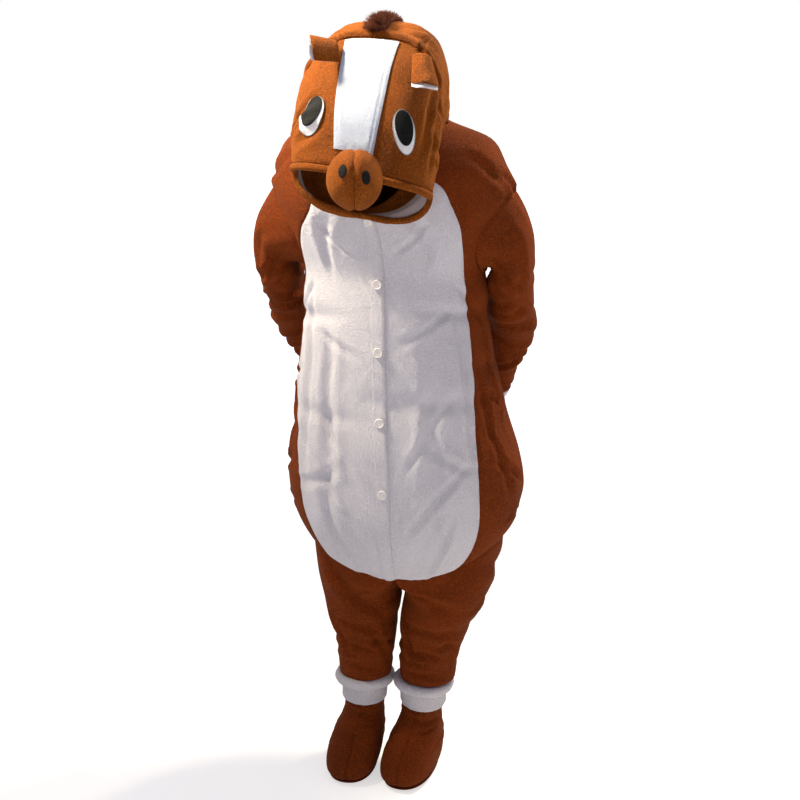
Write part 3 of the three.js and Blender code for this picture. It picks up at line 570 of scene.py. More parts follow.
def armhole_spread(at):
    """How far the armhole opens to each side of the side seam at a place up the torso."""
    off = (at - (ARMHOLE_LOW + ARMHOLE_HIGH) / 2) / ((ARMHOLE_HIGH - ARMHOLE_LOW) / 2)
    return ARMHOLE_SPREAD * np.sqrt(np.maximum(0.0, 1 - off * off))


def armhole_edge(turn, way):
    """A point of the armhole's edge: turn 0 is the armpit, 90 the front, 180 the top, 270 the back."""
    reach = (ARMHOLE_HIGH - ARMHOLE_LOW) / 2
    at = (ARMHOLE_LOW + ARMHOLE_HIGH) / 2 - reach * np.cos(np.radians(turn))
    angle = 90 - ARMHOLE_SPREAD * np.sin(np.radians(turn))
    return torso(way * angle, at)


def torso_rows():
    low = ARMHOLE_LOW * panel_shares(760, 8)
    rounds = mix(ARMHOLE_LOW, ARMHOLE_HIGH, (1 - np.cos(np.linspace(0, math.pi, ARMHOLE_ROUNDS + 1))) / 2)
    high = mix(ARMHOLE_HIGH, 1.0, panel_shares(150, 7))
    return np.unique(np.concatenate([low[:-4], low[-4:-1:3], rounds, high[4:]]).round(6))


# Sleeves: one row for each section of the wearer's left one. Past 1 is the wrist cuff.
SLEEVE = named_rows(
    "at x y z wide deep lean swing",
    (0.00, 222, 10, 1182, 86, 62, 70, 0),
    (0.12, 248, 18, 1142, 59, 62, 44, 4),
    (0.25, 251, 30, 1092, 43, 60, 12, 12),
    (0.40, 241, 60, 1036, 50, 55, 0, 24),
    (0.56, 238, 108, 978, 54, 50, -12, 36),
    (0.78, 207, 160, 900, 48, 45, -22, 40),
    (1.00, 188, 202, 830, 38, 37, -24, 38),
    (1.07, 180, 216, 812, 37, 36, -24, 38),
)
SLEEVE_SCALE = (0.95, 420.0)
SLEEVE_JOIN = 0.12
SLEEVE_FOLDS = (
    (90, 0.16, 40, 0.030, 5, 160),
    (60, 0.36, 50, 0.022, 5, -80),
    (150, 0.46, 60, 0.022, 6, 60),
    (110, 0.58, 60, 0.024, 6, -90),
    (230, 0.66, 60, 0.026, 5, 60),
    (160, 0.80, 60, 0.024, 4, 90),
)
SLEEVE_CREASES = (
    (-50, 0.25, 50, 0.27, 26, -7.6, 0),
    (-45, 0.165, 45, 0.175, 16, -3.4, 0),
    (40, 0.16, 150, 0.30, 8, 3.8, 6),
    (150, 0.30, 260, 0.22, 8, 3.2, -5),
    (30, 0.42, 150, 0.40, 6, 4.2, 5),
    (60, 0.49, 190, 0.50, 6, 4.0, -5),
    (20, 0.56, 120, 0.62, 6, 3.8, 4),
    (170, 0.58, 280, 0.54, 7, 3.6, 6),
    (90, 0.70, 210, 0.74, 7, 3.4, -4),
    (300, 0.40, 400, 0.46, 8, 3.0, 4),
    (20, 0.84, 130, 0.88, 6, 2.8, 3),
    (180, 0.90, 300, 0.86, 6, 2.8, -3),
    (280, 0.70, 380, 0.66, 8, 3.0, 3),
    (60, 0.04, 96, 0.30, 10, 4.2, 6),
    (110, 0.06, 128, 0.34, 10, 4.0, -6),
    (40, 0.26, 120, 0.36, 9, 4.4, 5),
    (60, 0.36, 170, 0.44, 8, 4.6, -6),
    (70, 0.62, 190, 0.66, 8, 4.4, 6),
    (60, 0.78, 150, 0.70, 8, 4.0, 4),
    (100, 0.92, 200, 0.96, 7, 3.4, 3),
)


def sleeve_section(turn, at, way):
    row = row_at(SLEEVE, at)
    lean = np.radians(row["lean"])
    swing = np.radians(row["swing"])
    zero = np.zeros_like(lean)
    out = np.stack([way * np.cos(lean), zero, np.sin(lean)], axis=-1)
    front = np.stack([zero, -np.cos(swing), -np.sin(swing)], axis=-1)
    centre = np.stack([way * row["x"], row["y"], row["z"]], axis=-1)
    wide = (row["wide"] * np.cos(np.radians(turn)))[..., None]
    deep = (row["deep"] * np.sin(np.radians(turn)))[..., None]
    return centre - out * wide + front * deep


def sleeve_surface(way):
    armhole = kept_ring(lambda turns: armhole_edge(turns, way))

    def plain(turn, at):
        turn, at = np.broadcast_arrays(turn, at)
        held = (1 - smooth(at / SLEEVE_JOIN))[..., None]
        pull = armhole(turn) - sleeve_section(turn, np.zeros_like(at), way)
        return sleeve_section(turn, at, way) + held * pull

    return Surface(plain, SLEEVE_FOLDS, SLEEVE_CREASES, SLEEVE_SCALE, -way, 0.8, 11)


# Legs: one row for each section of each leg, from the hem up to the seat
LEGS = {
    "left": named_rows(
        "at x y z half deep",
        (0.00, 93, -22, 208.8, 60, 58),
        (0.25, 98, -20, 284, 68, 66),
        (0.50, 114, -16, 350, 80, 78),
        (0.75, 137, -8, 425, 94, 96),
        (1.00, 145, 5, 488, 104, 113),
    ),
    "right": named_rows(
        "at x y z half deep",
        (0.00, -46, -26, 206.6, 57, 58),
        (0.25, -47, -24, 284, 66, 66),
        (0.50, -52, -18, 350, 79, 78),
        (0.75, -61, -8, 425, 94, 96),
        (1.00, -64, 5, 488, 104, 113),
    ),
}
LEG_SCALE = (1.3, 270.0)
LEG_JOIN = 0.62
CROTCH_GAP = 0.6
LEG_FOLDS = (
    (20, 0.12, 70, 0.05, 5, 60),
    (300, 0.30, 60, 0.05, 5, -90),
    (60, 0.46, 60, 0.05, 6, 80),
    (180, 0.36, 60, 0.06, 6, 60),
    (350, 0.66, 50, 0.06, 6, -70),
    (120, 0.70, 50, 0.06, 6, 70),
)
LEG_CREASES = (
    (-40, 0.10, 60, 0.05, 6, 3.0, 4),
    (-70, 0.22, 30, 0.18, 6, 2.6, -4),
    (10, 0.34, 90, 0.26, 7, 3.0, 4),
    (-60, 0.50, 40, 0.42, 8, 3.0, 5),
    (30, 0.60, 110, 0.70, 8, 3.2, -4),
    (100, 0.14, 200, 0.10, 6, 3.0, 3),
    (140, 0.30, 230, 0.36, 8, 3.2, 4),
    (160, 0.56, 250, 0.50, 8, 3.2, -4),
    (220, 0.12, 300, 0.20, 7, 2.8, 3),
    (-50, 0.92, 10, 0.60, 11, 5.0, 6),
    (-20, 0.86, 60, 0.50, 11, 4.6, -6),
    (-64, 0.60, -20, 0.16, 10, 4.4, 5),
    (24, 0.52, 70, 0.12, 10, 4.2, -5),
    (-30, 0.28, 50, 0.20, 7, 3.6, 4),
    (60, 0.90, 130, 0.70, 10, 4.2, 4),
)


def leg_top(angle, way):
    """The top edge of a leg: half of the seat's bottom ring, closed by the crotch line."""
    turn = (way * angle) % 360.0
    outside = seat_ring(way * np.minimum(turn, 180.0))
    clear = (outside[..., 0] - TORSO["centre_x"][0]) * way
    outside[..., 0] = np.where(clear < CROTCH_GAP, TORSO["centre_x"][0] + way * CROTCH_GAP, outside[..., 0])
    along = ((1 - np.cos(np.radians(turn - 180.0))) / 2)[..., None]
    ends = seat_ring(np.array([180.0, 0.0]))
    inside = mix(ends[0], ends[1], along)
    inside[..., 0] = TORSO["centre_x"][0] + way * CROTCH_GAP
    return np.where((turn <= 180.0)[..., None], outside, inside)


def leg_section(angle, at, side):
    row = row_at(LEGS[side], at)
    x = row["x"] + row["half"] * np.sin(np.radians(angle))
    y = row["y"] - row["deep"] * np.cos(np.radians(angle))
    return np.stack(np.broadcast_arrays(x, y, row["z"]), axis=-1)


def leg_surface(side, way):
    def plain(angle, at):
        angle, at = np.broadcast_arrays(angle, at)
        held = smooth((at - LEG_JOIN) / (1 - LEG_JOIN))[..., None]
        pull = leg_top(angle, way) - leg_section(angle, np.ones_like(at), side)
        return leg_section(angle, at, side) + held * pull

    return Surface(plain, LEG_FOLDS, LEG_CREASES, LEG_SCALE, 1, 0.7, 21 if way > 0 else 27)


# Ankle cuffs: a fat roll over a lower band
CUFFS = {"left": (84, -22, 3), "right": (-48, -26, 1)}
ROLL_Z = 196.0
ROLL_HALF = 55.0
ROLL_DEEP = 58.0
ROLL_RADIUS = 10.0
BAND_TOP = 185.6
BAND_LOW = 146.1
BAND_HALF = 49.0
BAND_DEEP = 54.0


def cuff_point(side, angle, half, deep, z):
    x, y, tilt = CUFFS[side]
    slope = math.tan(math.radians(tilt))
    across = half * np.sin(np.radians(angle))
    return np.stack(
        np.broadcast_arrays(x + across, y - deep * np.cos(np.radians(angle)), z - slope * across), axis=-1
    )


# Foot covers: one row for each section of the left one, toe at the front
BOOT = named_rows(
    SECTION,
    (0.00, 5.5, 5.5, 5.5, 50, 0, -128, -40, 74, 2.3),
    (0.12, 20, 20, 20, 57, 0, -142, -42, 82, 2.4),
    (0.32, 52, 48, 48, 58, 0, -132, -40, 82, 2.4),
    (0.55, 88, 82, 80, 53, 0, -92, -20, 72, 2.2),
    (0.78, 114, 112, 112, 46, 0, -60, 0, 60, 2),
    (1.00, 145.5, 145.5, 145.5, 43, 0, -48, 0, 50, 2),
)
BOOTS = {"left": (69, -24, -4, 12), "right": (-67, -28, 6, 19)}
BOOT_SCALE = (1.1, 190.0)
BOOT_FOLDS = ((0, 0.62, 60, 0.05, 5, 0), (20, 0.84, 80, 0.05, 4, 90), (180, 0.70, 60, 0.06, 4, 0))
BOOT_CREASES = (
    (-60, 0.52, 50, 0.56, 6, 2.6, 5),
    (-40, 0.70, 70, 0.74, 6, 2.6, -4),
    (-70, 0.90, 30, 0.86, 6, 2.4, 3),
    (60, 0.44, 150, 0.50, 7, 2.2, 3),
    (-60, 0.42, -150, 0.48, 7, 2.2, -3),
    (130, 0.80, 230, 0.84, 6, 2.4, 3),
)


def boot_surface(side):
    x, y, turn, lean = BOOTS[side]
    cos = math.cos(math.radians(turn))
    sin = math.sin(math.radians(turn))

    def plain(angle, at):
        point = section(row_at(BOOT, at), angle)
        return np.stack(
            [
                x + lean * smooth(at) + point[..., 0] * cos - point[..., 1] * sin,
                y + point[..., 0] * sin + point[..., 1] * cos,
                point[..., 2],
            ],
            axis=-1,
        )

    return Surface(plain, BOOT_FOLDS, BOOT_CREASES, BOOT_SCALE, 1, 0.5, 41)


# Hood: fanned round the chin from the neck seam to the face opening
HOOD = named_rows(
    SECTION,
    (0.00, 1232, 1390, 1416, 126, 0, -158, -30, 70, 2),
    (0.10, 1231, 1402, 1448, 130, -2, -164, -44, 88, 2.1),
    (0.25, 1228, 1402, 1496, 135, -6, -172, -62, 94, 2.3),
    (0.40, 1224, 1400, 1550, 137, -9, -180, -82, 62, 2.5),
    (0.54, 1222, 1394, 1580, 139, -10, -186, -104, -12, 2.8),
    (0.66, 1220, 1384, 1566, 140, -10, -190, -124, -96, 2.8),
    (0.78, 1219, 1364, 1506, 141, -7, -194, -146, -168, 2.7),
    (0.90, 1219, 1331, 1410, 139, -3, -198, -170, -230, 2.5),
    (1.00, 1221, 1290, 1312, 134, 0, -202, -192, -264, 2.3),
)
HOOD_SCALE = (2.3, 560.0)
HOOD_JOIN = 0.1
HOOD_ROUNDED = 0.3
EAR_SEAM = 0.71
HOOD_ROLL = 3.0
HOOD_ROLLED = 0.66
BRIM_TILT = 15.0
BRIM_FROM = 0.84
HOOD_PIVOT = np.array([0.0, -40.0, 1300.0])
HOOD_FOLDS = (
    (140, 0.16, 40, 0.03, 6, 60),
    (220, 0.18, 40, 0.03, 6, -60),
    (100, 0.30, 22, 0.06, 5, 60),
    (260, 0.30, 22, 0.06, 5, -60),
)
HOOD_CREASES = (
    (96, 0.78, 128, 0.70, 8, 2.4, 3),
    (262, 0.78, 232, 0.71, 8, 2.4, -3),
    (88, 0.92, 118, 0.84, 8, 2.4, 3),
    (272, 0.92, 242, 0.84, 8, 2.4, -3),
    (80, 0.60, 120, 0.52, 9, 3.2, 4),
    (280, 0.60, 240, 0.50, 9, 3.2, -4),
    (110, 0.12, 170, 0.08, 8, 3.0, 3),
    (250, 0.12, 192, 0.09, 8, 3.0, -3),
    (120, 0.34, 168, 0.26, 10, 3.4, 5),
    (240, 0.33, 190, 0.25, 10, 3.4, -5),
    (64, 0.20, 96, 0.42, 9, 3.4, 4),
    (296, 0.20, 264, 0.42, 9, 3.4, -4),
    (150, 0.60, 172, 0.64, 7, 2.2, 2),
    (212, 0.61, 190, 0.64, 7, 2.2, -2),
    (147, 0.60, 147, 0.73, 4, 3.5, 0),
    (206, 0.66, 206, 0.73, 4, 3.0, 0),
    (128, 0.62, 160, 0.66, 7, 3.4, -3),
    (134, 0.50, 168, 0.58, 9, 3.2, -4),
    (205, 0.86, 262, 0.90, 8, 3.4, -3),
    (203, 0.93, 240, 0.955, 7, 3.0, 3),
    (118, 0.76, 126, 0.95, 9, 3.6, 3),
    (104, 0.72, 108, 0.96, 8, 4.0, -3),
    (88, 0.66, 96, 0.94, 8, 3.6, 3),
)


def plain_hood(angle, at):
    angle, at = np.broadcast_arrays(angle, at)
    row = row_at(HOOD, at)
    rise = mix(2.0, 2.0 / row["square"], smooth(at / HOOD_ROUNDED))
    point = section(row, angle, rise)
    held = (1 - smooth(at / HOOD_JOIN))[..., None]
    first = {name: np.broadcast_to(column[0], np.shape(at)) for name, column in HOOD.items()}
    point = point + held * (neck_ring(angle) - section(first, angle))
    tilt = BRIM_TILT * (point[..., 0] / row["half"]) * smooth((at - BRIM_FROM) / (1 - BRIM_FROM))
    point = point - np.stack([tilt * 0, tilt * 0, tilt], axis=-1)
    roll = math.radians(HOOD_ROLL) * smooth(at / HOOD_ROLLED)
    off = point - HOOD_PIVOT
    x = off[..., 0] * np.cos(roll) + off[..., 2] * np.sin(roll)
    z = off[..., 2] * np.cos(roll) - off[..., 0] * np.sin(roll)
    return np.stack([x, off[..., 1], z], axis=-1) + HOOD_PIVOT


hood = Surface(plain_hood, HOOD_FOLDS, HOOD_CREASES, HOOD_SCALE, 1, 0.7, 51)


def crown_angle(at, x):
    row = row_at(HOOD, at)
    return 180 - np.degrees(np.arcsin((x / row["half"]) ** (row["square"] / 2)))


# The trims of the face
BINDING_RADIUS = 6.0
BINDING_GAP = 2.0
BLAZE = named_rows("at half", (0.72, 52), (0.80, 48), (0.88, 45), (0.97, 37))
LINING_GAP = 1.0
MANE_HALF = 20.0
SNOUT_X, SNOUT_Y, SNOUT_Z = 17.0, -301.0, 1296.0
SNOUT_HALF, SNOUT_DEEP, SNOUT_TALL = 50.0, 60.0, 54.0
SNOUT_FACING = 16.0
SNOUT_SEAM = 0.2
SNOUT_REACH = {1: 111, -1: 136}
EYE_LIFT = FACE_TOP + 3 * ON_TOP
# angle, place, half width in degrees, half height, how blunt the upper end is, slant
EYES = {"left": (145.5, 0.911, 10.5, 0.042, 0.80, -4), "right": (216, 0.897, 13.5, 0.048, 0.80, 2)}
PUPILS = {"left": (146.3, 0.906, 8.8, 0.033, 0.85, -3), "right": (215.2, 0.890, 11, 0.037, 0.85, 2)}
NOSTRILS = {"left": (24, 0.455, 9, 0.07, 1, 0), "right": (24, 0.39, 9, 0.07, 1, 0)}
EARS = {
    "left": dict(
        angle=144, at=0.730, out=0.65, down=0.75, lift=0.14, roll=-19,
        length=76, root=19, end=26, lift_off=3.6,
    ),
    "right": dict(
        angle=198, at=0.760, out=0.68, down=0.28, lift=0.67, roll=5,
        length=55, root=25, end=28, lift_off=7.0,
    ),
}
EAR_BROAD = {"left": "out", "right": "down"}
EAR_CUP = 8.0


def snout_surface(way):
    def plain(angle, at):
        around = np.radians(mix(90.0, -90.0, at))
        over = np.radians(angle)
        facing = math.radians(SNOUT_FACING)
        across = way * (SNOUT_SEAM + SNOUT_HALF * np.sin(over) * np.cos(around))
        ahead = -SNOUT_DEEP * np.cos(over) * np.cos(around)
        x = SNOUT_X + across * math.cos(facing) - ahead * math.sin(facing)
        y = SNOUT_Y + across * math.sin(facing) + ahead * math.cos(facing)
        z = SNOUT_Z + SNOUT_TALL * np.sin(around)
        return np.stack(np.broadcast_arrays(x, y, z), axis=-1)

    return Surface(plain, turn=-way, uneven=0.5, seed=91)


def patch_edge(place, twist, size=1.0):
    """Angles and places round a felt patch, blunt at its upper end."""
    angle, at, across, up, blunt, slant = place
    share = size * np.cos(twist) * np.where(np.cos(twist) < 0, 1.0, blunt)
    return angle + size * across * np.sin(twist) - slant * share, at - up * share


def patch_grid(surface, place, rings, sides):
    """Rings of a felt patch on a surface: each ring is (share of its size, lift)."""
    twist = np.linspace(0, 2 * math.pi, sides, endpoint=False)
    lines = []
    for size, lift in rings:
        angle, at = patch_edge(place, twist, size)
        lines.append(surface(angle, at) + lift * surface.normal(angle, at))
    return np.stack(lines)


def capped(lines):
    """A closed piece from rings of points, with a middle point on its first and last ring."""
    rows, sides = lines.shape[:2]
    points = np.concatenate([lines.reshape(-1, 3), lines[0].mean(0)[None], lines[-1].mean(0)[None]])
    faces = [tuple(f) for f in grid_faces(rows, sides, True)]
    low = rows * sides
    for k in range(0, sides, 2):
        a, b, c = k, (k + 1) % sides, (k + 2) % sides
        faces.append((b, a, low, c))
        end = (rows - 1) * sides
        faces.append((end + a, end + b, end + c, low + 1))
    return points, np.array(faces)


def tube_grid(centres, out, up, radius_out, radius_up, sides):
    turn = np.linspace(0, 2 * math.pi, sides, endpoint=False)
    return (
        centres[:, None]
        + out[:, None] * (np.asarray(radius_out)[..., None] * np.cos(turn))[..., None]
        + up[:, None] * (np.asarray(radius_up)[..., None] * np.sin(turn))[..., None]
    )


def closed_tube(grid):
    """Faces of a tube that closes on itself both ways."""
    count, sides = grid.shape[:2]
    i, k = np.meshgrid(np.arange(count), np.arange(sides), indexing="ij")
    nxt = (i + 1) % count
    over = (k + 1) % sides
    faces = np.stack([i * sides + k, nxt * sides + k, nxt * sides + over, i * sides + over], axis=-1)
    return grid.reshape(-1, 3), faces.reshape(-1, 4)


# Node groups and materials
def add_node(tree, kind, **values):
    made = tree.nodes.new(kind)
    for key, value in values.items():
        if hasattr(made, key):
            setattr(made, key, value)
        else:
            made.inputs[key.replace("_", " ")].default_value = value
    return made


def new_group(name, inputs, outputs):
    group = bpy.data.node_groups.new(name, "ShaderNodeTree")
    for label, kind, value in inputs:
        socket = group.interface.new_socket(name=label, in_out="INPUT", socket_type=kind)
        socket.default_value = value
    for label, kind in outputs:
        group.interface.new_socket(name=label, in_out="OUTPUT", socket_type=kind)
    return group, group.nodes.new("NodeGroupInput"), group.nodes.new("NodeGroupOutput")


def ramp(tree, source, low, high):
    made = add_node(tree, "ShaderNodeMapRange", interpolation_type="SMOOTHSTEP")
    made.inputs["From Min"].default_value = low
    made.inputs["From Max"].default_value = high
    tree.links.new(source, made.inputs["Value"])
    return made.outputs["Result"]


def blend_colour(tree, share, a, b):
    made = add_node(tree, "ShaderNodeMix", data_type="RGBA")
    tree.links.new(share, made.inputs[0])
    for value, socket in ((a, made.inputs[6]), (b, made.inputs[7])):
        if isinstance(value, tuple):
            socket.default_value = value
        else:
            tree.links.new(value, socket)
    return made.outputs[2]


def calculate(tree, operation, a, b):
    made = add_node(tree, "ShaderNodeMath", operation=operation)
    for value, socket in ((a, made.inputs[0]), (b, made.inputs[1])):
        if isinstance(value, (int, float)):
            socket.default_value = value
        else:
            tree.links.new(value, socket)
    return made.outputs[0]


def nap_group():
    """Short brushed pile: small tufts that lie downward, clumps of them, and broad brushed patches. Colour
    follows the pile's height: painted shade in its low pits and a painted highlight on its raised tips.
    """
    if "fleece_nap" in bpy.data.node_groups:
        return bpy.data.node_groups["fleece_nap"]
    grey = (0.5, 0.5, 0.5, 1.0)
    group, start, end = new_group(
        "fleece_nap",
        [
            ("Pile colour", "NodeSocketColor", grey),
            ("Painted pit shade colour", "NodeSocketColor", grey),
            ("Tip colour", "NodeSocketColor", grey),
            ("Tufts per metre", "NodeSocketFloat", 520.0),
            ("Clumps per metre", "NodeSocketFloat", 150.0),
            ("Patches per metre", "NodeSocketFloat", 13.0),
        ],
        [("Color", "NodeSocketColor"), ("Height", "NodeSocketFloat"), ("Roughness", "NodeSocketFloat")],
    )
    place = add_node(group, "ShaderNodeTexCoord")
    lay = add_node(group, "ShaderNodeMapping")
    lay.inputs["Scale"].default_value = (1.0, 1.0, 0.75)
    group.links.new(place.outputs["Object"], lay.inputs["Vector"])
    tufts = add_node(group, "ShaderNodeTexVoronoi", feature="SMOOTH_F1")
    tufts.inputs["Smoothness"].default_value = 0.6
    fine = add_node(group, "ShaderNodeTexNoise", Detail=4.0, Roughness=0.65)
    clumps = add_node(group, "ShaderNodeTexNoise", Detail=3.0, Roughness=0.55, Distortion=0.3)
    patches = add_node(group, "ShaderNodeTexNoise", Detail=2.0, Roughness=0.5)
    for made, label in (
        (tufts, "Tufts per metre"),
        (fine, "Tufts per metre"),
        (clumps, "Clumps per metre"),
        (patches, "Patches per metre"),
    ):
        group.links.new(lay.outputs["Vector"], made.inputs["Vector"])
        group.links.new(start.outputs[label], made.inputs["Scale"])
    tuft = ramp(group, tufts.outputs["Distance"], 0.62, 0.06)
    grain = ramp(group, fine.outputs["Fac"], 0.30, 0.72)
    clump = ramp(group, clumps.outputs["Fac"], 0.32, 0.70)
    patch = ramp(group, patches.outputs["Fac"], 0.34, 0.66)
    height = calculate(
        group, "ADD", calculate(group, "MULTIPLY", tuft, 0.32), calculate(group, "MULTIPLY", grain, 0.24),
    )
    height = calculate(group, "ADD", height, calculate(group, "MULTIPLY", clump, 0.44))
    raised = ramp(group, height, 0.22, 0.78)
    # Painted shade: the low pits of the pile are darkened.
    deep = blend_colour(group, raised, start.outputs["Painted pit shade colour"], start.outputs["Pile colour"])
    # Painted highlight: the highest tips of the pile are lightened.
    tip_highlight_share = calculate(group, "MULTIPLY", ramp(group, height, 0.55, 1.0), 0.55)
    tips = blend_colour(group, tip_highlight_share, deep, start.outputs["Tip colour"])
    brushed = blend_colour(
        group, calculate(group, "MULTIPLY", patch, 0.30), tips, start.outputs["Pile colour"],
    )
    group.links.new(brushed, end.inputs["Color"])
    group.links.new(height, end.inputs["Height"])
    rough = calculate(group, "ADD", 0.82, calculate(group, "MULTIPLY", raised, 0.14))
    group.links.new(rough, end.inputs["Roughness"])
    return group


def thread_group():
    """Twisted thread or smooth knit: fine slanted ribs, with painted shade darkening the grooves between
    them.
    """
    if "thread_twist" in bpy.data.node_groups:
        return bpy.data.node_groups["thread_twist"]
    group, start, end = new_group(
        "thread_twist",
        [
            ("Thread colour", "NodeSocketColor", (0.5, 0.5, 0.5, 1.0)),
            ("Painted groove shade colour", "NodeSocketColor", (0.2, 0.2, 0.2, 1.0)),
            ("Ribs per metre", "NodeSocketFloat", 900.0),
        ],
        [("Color", "NodeSocketColor"), ("Height", "NodeSocketFloat")],
    )
    place = add_node(group, "ShaderNodeTexCoord")
    ribs = add_node(group, "ShaderNodeTexWave", wave_type="BANDS", bands_direction="DIAGONAL", Distortion=1.2)
    grain = add_node(group, "ShaderNodeTexNoise", Detail=3.0, Scale=900.0)
    group.links.new(place.outputs["Object"], ribs.inputs["Vector"])
    group.links.new(place.outputs["Object"], grain.inputs["Vector"])
    group.links.new(start.outputs["Ribs per metre"], ribs.inputs["Scale"])
    mixed = calculate(
        group, "ADD", calculate(group, "MULTIPLY", ribs.outputs["Fac"], 0.6),
        calculate(group, "MULTIPLY", grain.outputs["Fac"], 0.4),
    )
    # Painted shade: colour follows the rib height, darker in the grooves.
    colour = blend_colour(
        group, ramp(group, mixed, 0.2, 0.7), start.outputs["Painted groove shade colour"], start.outputs["Thread colour"],
    )
    group.links.new(colour, end.inputs["Color"])
    group.links.new(mixed, end.inputs["Height"])
    return group


def shade(colour, factor):
    return tuple(min(1.0, c * factor) for c in colour[:3]) + (1.0,)


def new_material(name, sheen=0.0, sheen_tint=(1, 1, 1, 1), roughness=0.9, coat=0.0):
    material = bpy.data.materials.new(name)
    material.use_nodes = True
    tree = material.node_tree
    shader = tree.nodes["Principled BSDF"]
    shader.inputs["Roughness"].default_value = roughness
    shader.inputs["Sheen Weight"].default_value = sheen
    shader.inputs["Sheen Roughness"].default_value = 0.45
    shader.inputs["Sheen Tint"].default_value = sheen_tint
    shader.inputs["Specular IOR Level"].default_value = 0.12
    shader.inputs["Coat Weight"].default_value = coat
    return material, tree, shader


def fleece(name, colour, deep, tip, sheen, tufts=520.0, clumps=150.0, bump=0.9, lift=0.0022):
    if name in bpy.data.materials:
        return bpy.data.materials[name]
    material, tree, shader = new_material(name, sheen, shade(tip, 1.2))
    nap = tree.nodes.new("ShaderNodeGroup")
    nap.node_tree = nap_group()
    nap.inputs["Pile colour"].default_value = shade(colour, 1.0)
    # deep is the painted shade in the pile's pits, tip the painted highlight on its tips.
    nap.inputs["Painted pit shade colour"].default_value = shade(deep, 1.0)
    nap.inputs["Tip colour"].default_value = shade(tip, 1.0)
    nap.inputs["Tufts per metre"].default_value = tufts
    nap.inputs["Clumps per metre"].default_value = clumps
    relief = add_node(tree, "ShaderNodeBump", Strength=bump, Distance=lift)
    tree.links.new(nap.outputs["Color"], shader.inputs["Base Color"])
    tree.links.new(nap.outputs["Roughness"], shader.inputs["Roughness"])
    tree.links.new(nap.outputs["Height"], relief.inputs["Height"])
    tree.links.new(relief.outputs["Normal"], shader.inputs["Normal"])
    return material


def threaded(name, colour, gap, ribs, roughness, bump, sheen=0.0):
    if name in bpy.data.materials:
        return bpy.data.materials[name]
    material, tree, shader = new_material(name, sheen, (1, 1, 1, 1), roughness)
    twist = tree.nodes.new("ShaderNodeGroup")
    twist.node_tree = thread_group()
    twist.inputs["Thread colour"].default_value = shade(colour, 1.0)
    # gap is the painted shade colour of the grooves between the ribs.
    twist.inputs["Painted groove shade colour"].default_value = shade(gap, 1.0)
    twist.inputs["Ribs per metre"].default_value = ribs
    relief = add_node(tree, "ShaderNodeBump", Strength=bump, Distance=0.0006)
    tree.links.new(twist.outputs["Color"], shader.inputs["Base Color"])
    tree.links.new(twist.outputs["Height"], relief.inputs["Height"])
    tree.links.new(relief.outputs["Normal"], shader.inputs["Normal"])
    return material


def colours():
    return bpy.context.scene.onesie_colours


def brown_fleece():
    c = tuple(colours().brown)
    tip = tuple(colours().brown_tip_highlight)
    # shade(c, 0.45) is the painted shade of the pile's pits, tip its painted tip highlight.
    return fleece("brown_fleece_nap", c, shade(c, 0.45), tip, 0.14, 900.0, 330.0, 1.0, 0.0026)


def painted_sunlight_hood_fleece():
    """The brown fleece made lighter and more golden, with a little more sheen: painted sunlight on the hood,
    binding, snout and outer ears, which are of the same cloth as the body.
    """
    # Painted sunlight: the brown and its tip colour raised by these factors.
    c = tuple(min(1.0, v * k) for v, k in zip(tuple(colours().brown), (1.30, 1.85, 1.7)))
    tip = tuple(min(1.0, v * k) for v, k in zip(tuple(colours().brown_tip_highlight), (1.4, 1.85, 2.0)))
    return fleece("hood_fleece_nap", c, shade(c, 0.45), tip, 0.2, 900.0, 330.0, 1.0, 0.0026)


def white_fleece():
    c = tuple(colours().white)
    # shade(c, 0.84) and the lighter tip colour are the pile's painted pit shade and painted tip highlight.
    return fleece("white_fleece_nap", c, shade(c, 0.84), (0.90, 0.89, 0.94), 0.1, 800.0, 300.0, 1.0, 0.0026)


def blaze_shaded_fleece():
    """The blaze's fleece: the white fleece made darker and bluer, painted bluish shade."""
    # Painted shade: darker and bluer than the white fleece.
    c = (0.60, 0.66, 0.80)
    return fleece("blaze_fleece_nap", c, shade(c, 0.84), (0.80, 0.84, 0.95), 0.1, 800.0, 300.0, 1.0, 0.0026)


def white_thread():
    # The second colour is the painted shade of the thread's grooves.
    return threaded("white_sewing_thread", (0.72, 0.70, 0.72), (0.45, 0.44, 0.46), 900.0, 0.55, 0.5)


def grey_thread():
    # The second colour is the painted shade of the thread's grooves.
    return threaded("grey_edge_thread", (0.36, 0.37, 0.38), (0.16, 0.16, 0.17), 900.0, 0.55, 0.6)


def lining_knit():
    c = tuple(colours().lining)
    # shade(c, 0.7) is the painted shade of the knit's grooves.
    return threaded("lining_knit", c, shade(c, 0.7), 620.0, 0.85, 0.6, 0.2)


def white_felt():
    # deep and tip: painted shade in the felt's pits and painted highlight on its fibre tips.
    c, deep, tip = (0.86, 0.86, 0.85), (0.70, 0.70, 0.70), (0.93, 0.93, 0.93)
    return fleece("white_eye_felt", c, deep, tip, 0.1, 1300.0, 420.0, 0.4, 0.0007)


def black_felt():
    # deep and tip: painted shade in the felt's pits and painted highlight on its fibre tips.
    c, deep, tip = (0.012, 0.013, 0.013), (0.004, 0.004, 0.004), (0.05, 0.055, 0.05)
    return fleece("black_pupil_felt", c, deep, tip, 0.25, 1100.0, 300.0, 0.5, 0.0009)


def mane_pile():
    # deep and tip: painted shade low in the mane's pile and painted highlight on its tips.
    c, deep, tip = (0.16, 0.045, 0.024), (0.050, 0.013, 0.007), (0.40, 0.15, 0.09)
    return fleece("mane_strand_pile", c, deep, tip, 0.2, 300.0, 90.0, 0.2, 0.0006)


